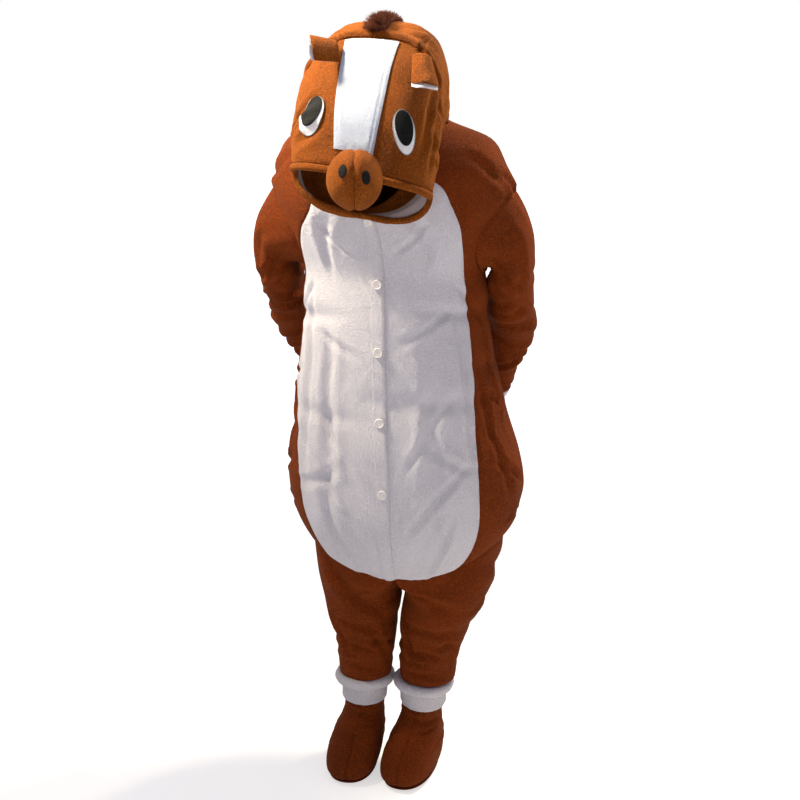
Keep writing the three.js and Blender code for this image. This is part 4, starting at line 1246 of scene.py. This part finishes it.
def button_plastic():
    name = "pearl_button_plastic"
    if name in bpy.data.materials:
        return bpy.data.materials[name]
    material, tree, shader = new_material(name, 0.0, (1, 1, 1, 1), 0.28, 0.3)
    place = add_node(tree, "ShaderNodeTexCoord")
    swirl = add_node(tree, "ShaderNodeTexNoise", Scale=130.0, Detail=3.0, Distortion=1.6)
    tree.links.new(place.outputs["Object"], swirl.inputs["Vector"])
    share = ramp(tree, swirl.outputs["Fac"], 0.35, 0.65)
    colour = blend_colour(tree, share, (0.60, 0.56, 0.55, 1.0), (0.78, 0.74, 0.72, 1.0))
    tree.links.new(colour, shader.inputs["Base Color"])
    rough = calculate(tree, "ADD", 0.24, calculate(tree, "MULTIPLY", share, 0.14))
    tree.links.new(rough, shader.inputs["Roughness"])
    return material


# What a user may change
class OnesieColours(bpy.types.PropertyGroup):
    """Colours of the suit's cloths."""

    brown: FloatVectorProperty(
        name="Brown fleece", description="Pile colour of the suit's body", subtype="COLOR", size=3,
        min=0.0, max=1.0, default=(0.255, 0.042, 0.003),
    )
    # Painted highlight: the colour painted on the raised tips of the brown pile.
    brown_tip_highlight: FloatVectorProperty(
        name="Brown tips", description="Colour of the lit tips of the brown pile", subtype="COLOR", size=3,
        min=0.0, max=1.0, default=(0.50, 0.135, 0.012),
    )
    white: FloatVectorProperty(
        name="White fleece", description="Pile colour of the belly, blaze and cuffs", subtype="COLOR", size=3,
        min=0.0, max=1.0, default=(0.76, 0.73, 0.78),
    )
    lining: FloatVectorProperty(
        name="Lining", description="Colour of the hood's lining", subtype="COLOR", size=3,
        min=0.0, max=1.0, default=(0.60, 0.49, 0.47),
    )


class OnesieSizes(bpy.types.PropertyGroup):
    """Sizes of the trims."""

    line_spacing: FloatProperty(
        name="Line spacing", description="Distance between the cloth's lines of points", subtype="DISTANCE",
        unit="LENGTH", min=0.003, max=0.02, default=0.0065,
    )
    stitch_length: FloatProperty(
        name="Stitch length", description="Length of one stitch", subtype="DISTANCE", unit="LENGTH",
        min=0.001, max=0.01, default=0.0032,
    )
    button_radius: FloatProperty(
        name="Button radius", description="Radius of the front's buttons", subtype="DISTANCE", unit="LENGTH",
        min=0.005, max=0.02, default=0.010,
    )
    mane_strands: IntProperty(
        name="Mane strands", description="How many strands of pile the mane has",
        min=500, max=9000, default=6500,
    )


class OnesieStudio(bpy.types.PropertyGroup):
    """The studio round the suit."""

    azimuth: FloatProperty(
        name="Camera side", description="Angle of the camera round the suit from its front", subtype="ANGLE",
        unit="ROTATION", default=math.radians(15.0),
    )
    pitch: FloatProperty(
        name="Camera tilt", description="How far the camera looks down", subtype="ANGLE", unit="ROTATION",
        default=math.radians(14.0),
    )
    distance: FloatProperty(
        name="Camera distance", description="Level distance of the camera", subtype="DISTANCE", unit="LENGTH",
        default=2.5,
    )
    height: FloatProperty(
        name="Camera height", description="Height of the camera over the shoulder line", subtype="DISTANCE",
        unit="LENGTH", default=0.10,
    )


def spacing():
    return bpy.context.scene.onesie_sizes.line_spacing / MM


class ONESIE_OT_body(bpy.types.Operator):
    """Makes the white belly, the brown sides and the brown back"""

    bl_idname = "onesie.body"
    bl_label = "Body panels"

    def execute(self, context):
        rows = torso_rows()
        belly = panel_shares(215, spacing())
        side = panel_shares(120, spacing())
        back = panel_shares(330, spacing() * 1.2)
        for name, way in SIDES:
            panels = (
                ("belly", white_fleece(), "white_fleece", lambda at: belly * belly_edge(at, way)),
                ("side", brown_fleece(), "brown_fleece",
                 lambda at: mix(belly_edge(at, way), way * (90 - armhole_spread(at)), side)),
                ("back", brown_fleece(), "brown_fleece",
                 lambda at: mix(way * (90 + armhole_spread(at)), way * 180.0, back)),
            )
            for part, finish, slot, angles in panels:
                cloth = Cloth(torso, rows, angles)
                sheet_piece(cloth, f"{part}_{name}", finish)
        return {"FINISHED"}


class ONESIE_OT_front(bpy.types.Operator):
    """Makes the placket down the belly's middle, its topstitching and its buttons"""

    bl_idname = "onesie.front"
    bl_label = "Button front"

    def execute(self, context):
        tip, pointed, top = 0.012, 0.05, 0.992

        def half_angle(at):
            half = PLACKET_HALF * min(1.0, mix(0.25, 1.0, (at - tip) / (pointed - tip)))
            row = row_at(TORSO, at)
            return float(np.degrees(np.arcsin((half / row["half"]) ** (row["square"] / 2))))

        shares = panel_shares(28, 3.2, (0.6, 1.6))
        rows = mix(tip, top, panel_shares(880, 5.0))
        cloth = Cloth(
            torso, rows, lambda at: mix(-half_angle(at), half_angle(at), shares),
            outer=PLACKET_LIFT + CLOTH, inner=PLACKET_LIFT - 0.4, tuck=1.0, pucker=0.5,
        )
        sheet_piece(cloth, "placket", white_fleece())
        size = context.scene.onesie_sizes.stitch_length / MM
        for label, sign in (("left", 1), ("right", -1)):
            places = np.linspace(pointed, 0.985, 260)
            angle = np.array([sign * half_angle(at) * 0.72 for at in places])
            normal = torso.normal(angle, places)
            line = torso(angle, places) + (PLACKET_LIFT + CLOTH - 0.25) * normal
            stitches(f"placket_stitches_{label}", line, normal, white_thread(), size)
        radius = context.scene.onesie_sizes.button_radius / MM
        for index, height in enumerate((1206, 1082, 950, 812, 668)):
            self.button(index + 1, height, radius)
        return {"FINISHED"}

    def button(self, number, height, radius):
        places = np.linspace(0, 1, 4000)
        at = places[np.argmin(np.abs(torso(np.zeros(4000), places)[:, 2] - height))]
        normal = torso.normal(0.0, at)
        base = torso(0.0, at) + (PLACKET_LIFT + CLOTH + 0.3) * normal
        across = unit(np.array([1.0, 0.0, 0.0]) - normal[0] * normal)
        up = np.cross(normal, across)
        turn = np.linspace(0, 2 * math.pi, 40, endpoint=False)
        profile = (
            (0.30, 0.0), (0.80, 0.0), (0.94, 0.5), (1.0, 1.3),
            (0.985, 2.2), (0.93, 3.0), (0.85, 3.35), (0.76, 3.2),
            (0.68, 2.7), (0.60, 2.35), (0.50, 2.3), (0.42, 2.5),
            (0.34, 2.75), (0.26, 2.7), (0.18, 2.2), (0.10, 1.9),
        )
        lines = np.stack([
            base + lift * normal
            + radius * share * (np.cos(turn)[:, None] * across + np.sin(turn)[:, None] * up)
            for share, lift in profile
        ])
        points, faces = capped(lines)
        piece = build(f"button_{number}_shell", points, faces, button_plastic())
        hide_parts(f"button_{number}")


class ONESIE_OT_sleeves(bpy.types.Operator):
    """Makes both sleeves and their white wrist cuffs"""

    bl_idname = "onesie.sleeves"
    bl_label = "Sleeves and wrist cuffs"

    def execute(self, context):
        turns = np.linspace(0, 360, 2 * ARMHOLE_ROUNDS, endpoint=False)
        for name, way in SIDES:
            surface = sleeve_surface(way)
            rounds = panel_shares(440, spacing() * 0.8)
            cloth = Cloth(surface, rounds, lambda at: turns, ringed=True, pucker=0.6)
            cloth.add_allowance(armhole_edge(turns, way))
            sheet_piece(cloth, f"sleeve_{name}", brown_fleece())
            rows = 1 + 0.07 * panel_shares(30, 2.6, (0.6, 1.6))
            cuff = Cloth(
                surface, rows, lambda at: turns, ringed=True, outer=1.4, inner=-1.6, tuck=1.4, pucker=0.8,
                relief=lambda base, near, angle, at: 0.8 * noise(base, 12.0, 61),
            )
            sheet_piece(cuff, f"wrist_cuff_{name}", white_fleece())
        return {"FINISHED"}


class ONESIE_OT_legs(bpy.types.Operator):
    """Makes both legs with their rolled ankle cuffs and lower bands"""

    bl_idname = "onesie.legs"
    bl_label = "Legs and ankle cuffs"

    def execute(self, context):
        angles = np.linspace(0, 360, 110, endpoint=False)
        for name, way in SIDES:
            turned = angles * way
            rounds = panel_shares(300, spacing())
            cloth = Cloth(leg_surface(name, way), rounds, lambda at: turned, ringed=True)
            sheet_piece(cloth, f"leg_{name}", brown_fleece())
            self.roll(name)
            self.band(name)
        return {"FINISHED"}

    def roll(self, name):
        angle = np.linspace(0, 360, 120, endpoint=False)
        zero = np.zeros_like(angle)
        out = np.stack([np.sin(np.radians(angle)), -np.cos(np.radians(angle)), zero], axis=-1)
        up = np.stack([zero, zero, zero + 1.0], axis=-1)
        slope = math.tan(math.radians(CUFFS[name][2]))
        centres = cuff_point(name, angle, ROLL_HALF, ROLL_DEEP, ROLL_Z - slope * 4)
        uneven = noise(centres, 26.0, 71)
        broad = ROLL_RADIUS + 1.2 + 1.2 * uneven
        tall = ROLL_RADIUS + 1.0 + 1.6 * uneven
        grid = tube_grid(centres, out, up, broad, tall, 22)
        grid = grid + unit(grid - centres[:, None]) * (0.9 * noise(grid, 9.0, 73))[..., None]
        points, faces = closed_tube(grid)
        piece = build(f"leg_roll_{name}_cloth", points, faces, white_fleece())
        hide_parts(f"leg_roll_{name}")

    def band(self, name):
        angles = np.linspace(0, 360, 100, endpoint=False)

        def plain(angle, at):
            grow = 2 * (1 - at)
            return cuff_point(name, angle, BAND_HALF - grow, BAND_DEEP - grow, mix(BAND_LOW, BAND_TOP, at))

        cloth = Cloth(
            Surface(plain), panel_shares(34, 2.4, (0.6, 1.6)), lambda at: angles,
            outer=2.2, inner=-0.6, ringed=True,
            tuck=1.6, relief=lambda base, near, angle, at: 1.3 * noise(base, 15.0, 77),
        )
        sheet_piece(cloth, f"leg_band_{name}", white_fleece())


# The sole's rounded edge: each ring's reach past the foot cover's edge, and its height
SOLE_ROUNDING = (
    (-30, 0.3), (-12, 0.1), (-3, 0.0), (0.6, 0.6), (2.2, 1.8),
    (2.4, 3.0), (1.6, 4.2), (-1, 4.9), (-12, 5.0), (-30, 5.0),
)


class ONESIE_OT_feet(bpy.types.Operator):
    """Makes both foot covers, each of two halves sewn up the middle, and their soles"""

    bl_idname = "onesie.feet"
    bl_label = "Foot covers"

    def execute(self, context):
        shares = panel_shares(190, spacing() * 0.8)
        rows = panel_shares(200, spacing() * 0.8)
        for name, way in SIDES:
            surface = boot_surface(name)
            for half, direction in (("outer", way), ("inner", -way)):
                turned = shares * 180.0 * direction
                cloth = Cloth(surface, rows, lambda at: turned, inner=-2.5)
                sheet_piece(cloth, f"boot_{name}_{half}", brown_fleece())
            self.sole(name, surface)
        return {"FINISHED"}

    def sole(self, name, surface):
        x, y = BOOTS[name][:2]
        angle = np.linspace(0, 360, 96, endpoint=False)
        edge = surface(angle, np.zeros_like(angle))
        centre = np.array([x, y - 30.0, 0.0])
        way = edge - centre
        way[:, 2] = 0.0
        reach = np.linalg.norm(way, axis=1, keepdims=True)
        lines = []
        for grow, lift in SOLE_ROUNDING:
            line = centre + way * (1 + grow / reach)
            line[:, 2] = lift
            lines.append(line)
        points, faces = capped(np.stack(lines))
        piece = build(f"sole_{name}_cloth", points, faces, brown_fleece())
        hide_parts(f"sole_{name}")


class ONESIE_OT_hood(bpy.types.Operator):
    """Makes the hood's back and face panels, its lining and the rolled edge of its face opening"""

    bl_idname = "onesie.hood"
    bl_label = "Hood"

    def execute(self, context):
        half = panel_shares(415, spacing() * 0.9)
        back_rows = EAR_SEAM * panel_shares(370, spacing() * 0.9)
        face_rows = mix(EAR_SEAM, 1.0, panel_shares(250, spacing() * 0.8))
        for name, way in SIDES:
            turned = half * 180.0 * way

            def ridge(base, near, angle, at):
                off = (EAR_SEAM - at) * HOOD_SCALE[1]
                crown = smooth((np.abs(angle) - 100.0) / 25.0)
                fat = 7.0 + 1.5 * noise(base, 40.0, 57)
                near = np.exp(-(((off - 8.0) / 7.5) ** 2))
                far = np.exp(-(((off - 26.0) / 9.0) ** 2))
                return crown * fat * (near - 0.25 * far)

            def recess(base, near, angle, at):
                off = (at - EAR_SEAM) * HOOD_SCALE[1]
                crown = smooth((np.abs(angle) - 100.0) / 25.0)
                return -1.2 * crown * np.exp(-((off / 9.0) ** 2))

            back = Cloth(hood, back_rows, lambda at: turned, relief=ridge)
            sheet_piece(back, f"hood_back_{name}", painted_sunlight_hood_fleece())
            face = Cloth(hood, face_rows, lambda at: turned, outer=FACE_TOP, relief=recess)
            sheet_piece(face, f"hood_face_{name}", painted_sunlight_hood_fleece())
        around = np.linspace(0, 360, 140, endpoint=False)
        lining = Cloth(
            hood, mix(0.57, 0.985, panel_shares(280, 9.0)), lambda at: around, ringed=True,
            outer=-CLOTH - LINING_GAP, inner=-2 * CLOTH - LINING_GAP, edges=(),
        )
        sheet_piece(lining, "hood_lining", lining_knit())
        self.binding()
        return {"FINISHED"}

    def binding(self):
        angle = np.linspace(0, 360, 220, endpoint=False)
        at = np.ones_like(angle)
        out = hood.normal(angle, at)
        on = unit(hood(angle, at) - hood(angle, at - 0.01))
        centres = hood(angle, at) + on * (BINDING_RADIUS + BINDING_GAP) - out
        uneven = noise(centres, 16.0, 81)
        broad = BINDING_RADIUS + 0.6 * uneven
        tall = BINDING_RADIUS + 1.3 + 0.5 * uneven
        grid = tube_grid(centres, out, on, broad, tall, 18)
        points, faces = closed_tube(grid)
        piece = build("opening_binding_cloth", points, faces, painted_sunlight_hood_fleece())
        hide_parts("opening_binding")


class ONESIE_OT_face(bpy.types.Operator):
    """Makes the blaze, the eyes, the padded snout and the nostrils"""

    bl_idname = "onesie.face"
    bl_label = "Face trims"

    def execute(self, context):
        self.blaze(context.scene.onesie_sizes.stitch_length / MM)
        for name, way in SIDES:
            self.eye(name, way)
        self.snout()
        return {"FINISHED"}

    def blaze(self, size):
        def edge(at):
            return float(crown_angle(at, row_at(BLAZE, at)["half"]))

        def sunk(base, near, angle, at):
            return 0.5 * np.exp(-(((near - 14) / 6) ** 2)) - 0.8 * np.exp(-(((near - 8.5) / 1.8) ** 2))

        shares = panel_shares(100, 3.4, (0.6, 1.6))
        lift = FACE_TOP + 3 * ON_TOP
        cloth = Cloth(
            hood, mix(0.72, 0.97, panel_shares(180, 3.8, (0.6, 1.6))),
            lambda at: mix(edge(at), 360 - edge(at), shares),
            outer=lift + 1.9, inner=lift, tuck=1.0, pucker=0.4,
            relief=sunk,
        )
        sheet_piece(cloth, "blaze", blaze_shaded_fleece())
        for label, share in (("left", 0.085), ("right", 0.915)):
            places = np.linspace(0.725, 0.965, 90)
            angle = np.array([mix(edge(at), 360 - edge(at), share) for at in places])
            normal = hood.normal(angle, places)
            line = hood(angle, places) + (lift + 1.15) * normal
            stitches(f"blaze_stitches_{label}", line, normal, white_thread(), size)

    def eye(self, name, way):
        self.felt(f"eye_white_{name}", EYES[name], EYE_LIFT, 1.6, white_felt(), "white_felt")
        angle, at = patch_edge(EYES[name], np.linspace(0, 2 * math.pi, 160, endpoint=False))
        normal = hood.normal(angle, at)
        line = hood(angle, at) + (EYE_LIFT + 0.9) * normal
        out = unit(line - line.mean(0))
        rib = 1.0 + 0.16 * np.sin(np.arange(160) * math.pi * 0.5)
        points, faces = closed_tube(tube_grid(line, out, normal, 1.0 * rib, 0.9 * rib, 8))
        rim = build(f"eye_edge_{name}", points, faces, grey_thread())
        self.felt(f"pupil_{name}", PUPILS[name], EYE_LIFT + 2.0, 1.3, black_felt(), "black_felt")

    def felt(self, node, place, lift, thick, finish, slot, surface=hood, sides=64):
        rings = (
            (0.35, lift), (0.94, lift), (0.985, lift + thick * 0.3), (1.0, lift + thick * 0.55),
            (0.985, lift + thick * 0.82), (0.94, lift + thick * 0.97), (0.85, lift + thick * 1.04),
            (0.65, lift + thick * 1.1), (0.4, lift + thick * 1.12), (0.15, lift + thick * 1.12),
        )
        points, faces = capped(patch_grid(surface, place, rings, sides))
        piece = build(f"{node}_patch", points, faces, finish)
        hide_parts(node)
        return piece

    def snout(self):
        for name, way in SIDES:
            surface = snout_surface(way)

            def padding(base, near, angle, at):
                ends = np.minimum(at, 1 - at) * 170.0
                return 1.4 * np.exp(-(((near - 12) / 7) ** 2)) * smooth(ends / 20)

            cloth = Cloth(
                surface, mix(0.012, 0.988, panel_shares(165, 3.2)),
                lambda at: panel_shares(112, 3.2) * SNOUT_REACH[way], inner=-4.0,
                edges=("first", "last"), tuck=1.8, pucker=1.0, relief=padding,
            )
            piece = cloth.make(f"snout_{name}_pad", painted_sunlight_hood_fleece())
            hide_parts(f"snout_{name}")
            lift = ON_TOP + 0.4
            self.felt(f"nostril_{name}", NOSTRILS[name], lift, 1.6, black_felt(), "black_felt", surface)


class ONESIE_OT_ears(bpy.types.Operator):
    """Makes the two ears, brown outside and white inside"""

    bl_idname = "onesie.ears"
    bl_label = "Ears"

    def execute(self, context):
        for name, way in SIDES:
            axes = self.axes(EARS[name], way, EAR_BROAD[name])
            ear = EARS[name]
            outer = (f"ear_outer_{name}", ear, axes, 1.0, (0.0, 1.0), -3.0, 0.0)
            inner = (f"ear_inner_{name}", ear, axes, 0.95, (0.12, 1.11), 0.5, 2.6)
            self.leaf(*outer, painted_sunlight_hood_fleece(), "brown_fleece")
            self.leaf(*inner, white_fleece(), "white_fleece")
        return {"FINISHED"}

    def axes(self, ear, way, broad):
        """The ear's root point and its directions along, across and toward the hood."""
        angle, at = float(ear["angle"]), ear["at"]
        normal = hood.normal(angle, at)
        root = hood(angle, at) + normal * ear["lift_off"]
        out = unit(hood(angle - way * 2, at) - hood(angle, at))
        down = unit(np.cross(normal, out))
        if down[2] > 0:
            down = -down
        along = unit(out * ear["out"] + down * ear["down"] + normal * ear["lift"])
        level = down if broad == "down" else out
        level = unit(level - np.dot(level, along) * along)
        beneath = np.cross(along, level)
        if np.dot(beneath, normal) > 0:
            beneath = -beneath
        roll = math.radians(ear["roll"])
        across = level * math.cos(roll) + beneath * math.sin(roll)
        under = beneath * math.cos(roll) - level * math.sin(roll)
        return root, along, across, under

    def leaf(self, node, ear, axes, scale, span, low, high, finish, slot):
        root, along, across, under = axes
        length = ear["length"]
        at = mix(span[0], span[1], panel_shares(length, 3.0, (0.7, 1.8)))[:, None]
        t = (mix(-1.0, 1.0, panel_shares(50, 3.0, (0.7, 1.8))) * scale)[None, :]
        half = mix(ear["root"], ear["end"], smooth(at))
        corner = 1 - 0.10 * smooth((at - 0.8) / 0.3) * t**4
        flat = (
            root
            + along * (length * at * corner)[..., None]
            + across * (half * t)[..., None]
            + under * (EAR_CUP * (t * t - 1) + 0.0 * at)[..., None]
        )
        near = edge_distance(flat, ("low", "high", "first", "last"))
        thin = (high - low) * 0.42 * np.exp(-((near / 1.6) ** 2))
        ripple = 0.8 * noise(flat, 14.0, 95)
        outer = flat + under * (high - thin + ripple)[..., None]
        inner = flat + under * (low + thin + ripple)[..., None]
        rows, columns = outer.shape[:2]
        points = np.concatenate([outer.reshape(-1, 3), inner.reshape(-1, 3)])
        piece = build(f"{node}_leaf", points, shell_faces(rows, columns, False), finish)
        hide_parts(node)


class ONESIE_OT_mane(bpy.types.Operator):
    """Makes the mane, a strip of long pile from the crown down the hood's back"""

    bl_idname = "onesie.mane"
    bl_label = "Mane"

    def execute(self, context):
        rng = np.random.default_rng(7)
        count = context.scene.onesie_sizes.mane_strands
        at = 0.11 + 0.58 * rng.random(count) ** 0.8
        across = np.clip(rng.normal(0.0, 0.5, count), -1, 1)
        x = MANE_HALF * np.abs(across)
        angle = 180 + np.sign(across) * (180 - crown_angle(at, x))
        normal = hood.normal(angle, at)
        root = hood(angle, at) + 1.0 * normal
        back = unit(hood(angle, at - 0.01) - hood(angle, at))
        side = np.cross(normal, back)
        rise = mix(11.0, 14.0, smooth((at - 0.1) / 0.3)) + 8.0 * smooth((at - 0.60) / 0.06)
        rise = rise * (1 - 0.45 * across**2) * rng.uniform(0.75, 1.1, count)
        lean = mix(0.9, 0.1, smooth((at - 0.1) / 0.5)) - 0.9 * smooth((at - 0.60) / 0.08)
        lean = lean + rng.normal(0, 0.18, count)
        spread = across * 0.5 + rng.normal(0, 0.22, count)
        clump = noise(root, 9.0, 97)
        tip = unit(normal + back * lean[:, None] + side * (spread + 0.4 * clump)[:, None])
        droop = mix(0.5, -0.5, smooth((at - 0.56) / 0.1))
        bend = unit(tip + back * droop[:, None] + rng.normal(0, 0.12, (count, 3)))
        points = []
        radius = rng.uniform(0.42, 0.62, count)
        for share, fat in ((0.0, 1.0), (0.4, 0.85), (0.75, 0.55), (1.0, 0.12)):
            centre = root + tip * (rise * share)[:, None] + bend * (rise * 0.35 * share**2)[:, None]
            for k in range(3):
                turn = 2 * math.pi * k / 3
                out = math.cos(turn) * side + math.sin(turn) * back
                points.append(centre + (radius * fat)[:, None] * out)
        points = np.stack(points, axis=1)
        faces = []
        for ring in range(3):
            for k in range(3):
                over = (k + 1) % 3
                a = ring * 3
                faces.append((a + k, a + over, a + 3 + over, a + 3 + k))
        local = np.array(faces)
        every = (local[None] + (np.arange(count) * 12)[:, None, None]).reshape(-1, 4)
        base = self.backing()
        start = len(points.reshape(-1, 3))
        piece = build(
            "mane_strands",
            np.concatenate([points.reshape(-1, 3), base[0]]),
            np.concatenate([every, base[1] + start]),
            mane_pile(),
        )
        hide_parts("mane")
        return {"FINISHED"}

    def backing(self):
        """The woven strip that the pile grows from."""
        rows = np.linspace(0.11, 0.69, 66)
        shares = np.linspace(-1, 1, 13)
        outer = []
        inner = []
        for at in rows:
            place = np.full(13, at)
            angle = 180 + np.sign(shares) * (180 - crown_angle(place, MANE_HALF * np.abs(shares)))
            normal = hood.normal(angle, place)
            crest = (1 - 0.6 * shares**2) * float(mix(3.0, 9.0, smooth((at - 0.1) / 0.4)))
            outer.append(hood(angle, place) + normal * (1.0 + crest)[:, None])
            inner.append(hood(angle, place) + normal * 0.6)
        points = np.concatenate([np.array(outer).reshape(-1, 3), np.array(inner).reshape(-1, 3)])
        return points, shell_faces(66, 13, False)


class ONESIE_OT_studio(bpy.types.Operator):
    """Makes the pale floor, the soft studio light and the camera"""

    bl_idname = "onesie.studio"
    bl_label = "Studio"

    def execute(self, context):
        scene = context.scene
        studio = scene.onesie_studio
        self.floor()
        self.lamp("key_light", (-1.45, -0.22, 1.60), (-0.06, -0.12, 0.22), 0.3, 12.5, (1.0, 0.89, 0.68), 40.0)
        self.lamp("front_fill", (1.4, -3.4, 0.6), (0.0, 0.0, -0.5), 2.4, 6.0, (0.95, 0.92, 1.0), 180.0)
        self.lamp("rim_light", (0.9, 1.1, 1.5), (0.15, 0.0, -0.05), 0.5, 15.0, (1.0, 0.88, 0.64), 80.0)
        world = scene.world or bpy.data.worlds.new("studio_air")
        scene.world = world
        world.use_nodes = True
        self.air(world.node_tree)
        scene.view_settings.view_transform = "Standard"
        data = bpy.data.cameras.new("photo_camera")
        data.sensor_width = 36.0
        data.lens = 55.125
        data.shift_x = 0.01375
        data.shift_y = -0.005
        camera = bpy.data.objects.new("photo_camera", data)
        scene.collection.objects.link(camera)
        side, tilt = studio.azimuth, studio.pitch
        camera.location = (
            studio.distance * math.sin(side), -studio.distance * math.cos(side), studio.height
        )
        camera.rotation_euler = (math.pi / 2 - tilt, 0.0, side)
        scene.camera = camera
        return {"FINISHED"}

    def air(self, tree):
        """Soft bluish light from all round, seen as white paper."""
        tree.nodes.clear()
        light = add_node(tree, "ShaderNodeBackground", Color=(0.95, 0.90, 1.0, 1.0), Strength=0.37)
        paper = add_node(tree, "ShaderNodeBackground", Color=(1.0, 1.0, 1.0, 1.0), Strength=1.0)
        path = add_node(tree, "ShaderNodeLightPath")
        either = add_node(tree, "ShaderNodeMixShader")
        end = add_node(tree, "ShaderNodeOutputWorld")
        tree.links.new(path.outputs["Is Camera Ray"], either.inputs[0])
        tree.links.new(light.outputs["Background"], either.inputs[1])
        tree.links.new(paper.outputs["Background"], either.inputs[2])
        tree.links.new(either.outputs["Shader"], end.inputs["Surface"])

    def floor(self):
        turn = np.linspace(0, 2 * math.pi, 96, endpoint=False)
        round_line = np.stack([np.cos(turn), np.sin(turn), turn * 0], axis=-1)
        rings = [radius * round_line for radius in (1, 3000, 9000, 30000)]
        points = np.concatenate(rings)
        points[:, 2] = -HOLD_HEIGHT
        mesh = bpy.data.meshes.new("studio_floor")
        mesh.from_pydata((points * MM).tolist(), [], grid_faces(4, 96, True).tolist())
        material, tree, shader = new_material("floor_paper", 0.0, (1, 1, 1, 1), 0.85)
        place = add_node(tree, "ShaderNodeTexCoord")
        grain = add_node(tree, "ShaderNodeTexNoise", Scale=60.0, Detail=3.0)
        tree.links.new(place.outputs["Object"], grain.inputs["Vector"])
        colour = blend_colour(tree, grain.outputs["Fac"], (0.86, 0.86, 0.86, 1.0), (0.89, 0.89, 0.89, 1.0))
        tree.links.new(colour, shader.inputs["Base Color"])
        reach = add_node(tree, "ShaderNodeVectorMath", operation="LENGTH")
        tree.links.new(place.outputs["Object"], reach.inputs[0])
        glow = ramp(tree, reach.outputs["Value"], 1.42, 2.6)
        path = add_node(tree, "ShaderNodeLightPath")
        seen = path.outputs["Is Camera Ray"]
        near = blend_colour(tree, seen, (0.20, 0.20, 0.20, 1.0), (0.56, 0.56, 0.55, 1.0))
        far = blend_colour(tree, seen, (0.90, 0.90, 0.90, 1.0), (1.0, 1.0, 1.0, 1.0))
        tree.links.new(blend_colour(tree, glow, near, far), shader.inputs["Emission Color"])
        shader.inputs["Emission Strength"].default_value = 1.0
        mesh.materials.append(material)
        thing = bpy.data.objects.new("studio_floor", mesh)
        bpy.context.scene.collection.objects.link(thing)
        thing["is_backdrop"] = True

    def lamp(self, name, place, aim, size, power, colour, spread):
        data = bpy.data.lights.new(name, "AREA")
        data.size = size
        data.energy = power
        data.color = colour
        data.spread = math.radians(spread)
        thing = bpy.data.objects.new(name, data)
        bpy.context.scene.collection.objects.link(thing)
        thing.location = place
        back = unit(np.array(place) - np.array(aim))
        thing.rotation_euler = (math.acos(back[2]), 0.0, math.atan2(back[1], back[0]) + math.pi / 2)


OPERATORS = (
    ONESIE_OT_body,
    ONESIE_OT_front,
    ONESIE_OT_sleeves,
    ONESIE_OT_legs,
    ONESIE_OT_feet,
    ONESIE_OT_hood,
    ONESIE_OT_face,
    ONESIE_OT_ears,
    ONESIE_OT_mane,
    ONESIE_OT_studio,
)


class ONESIE_PT_panel(bpy.types.Panel):
    """Lists the suit's pieces"""

    bl_idname = "ONESIE_PT_panel"
    bl_label = "Horse onesie"
    bl_space_type = "VIEW_3D"
    bl_region_type = "UI"
    bl_category = "Onesie"

    def draw(self, context):
        column = self.layout.column()
        for maker in OPERATORS:
            column.operator(maker.bl_idname)
        for group in (context.scene.onesie_colours, context.scene.onesie_sizes, context.scene.onesie_studio):
            box = self.layout.box()
            for name in group.__annotations__:
                box.prop(group, name)


GROUPS = (OnesieColours, OnesieSizes, OnesieStudio)


def register():
    for made in (*GROUPS, *OPERATORS, ONESIE_PT_panel):
        bpy.utils.register_class(made)
    bpy.types.Scene.onesie_colours = PointerProperty(type=OnesieColours)
    bpy.types.Scene.onesie_sizes = PointerProperty(type=OnesieSizes)
    bpy.types.Scene.onesie_studio = PointerProperty(type=OnesieStudio)


def unregister():
    del bpy.types.Scene.onesie_studio
    del bpy.types.Scene.onesie_sizes
    del bpy.types.Scene.onesie_colours
    for made in reversed((*GROUPS, *OPERATORS, ONESIE_PT_panel)):
        bpy.utils.unregister_class(made)


def plain(box):
    return [[float(v) for v in corner] for corner in box]


def main():
    register()
    for maker in OPERATORS:
        group, name = maker.bl_idname.split(".")
        getattr(getattr(bpy.ops, group), name)()
    bpy.context.view_layer.update()
    {"cad": plain(CAD_BOX), "visual": plain(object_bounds())}


if __name__ == "__main__":
    main()
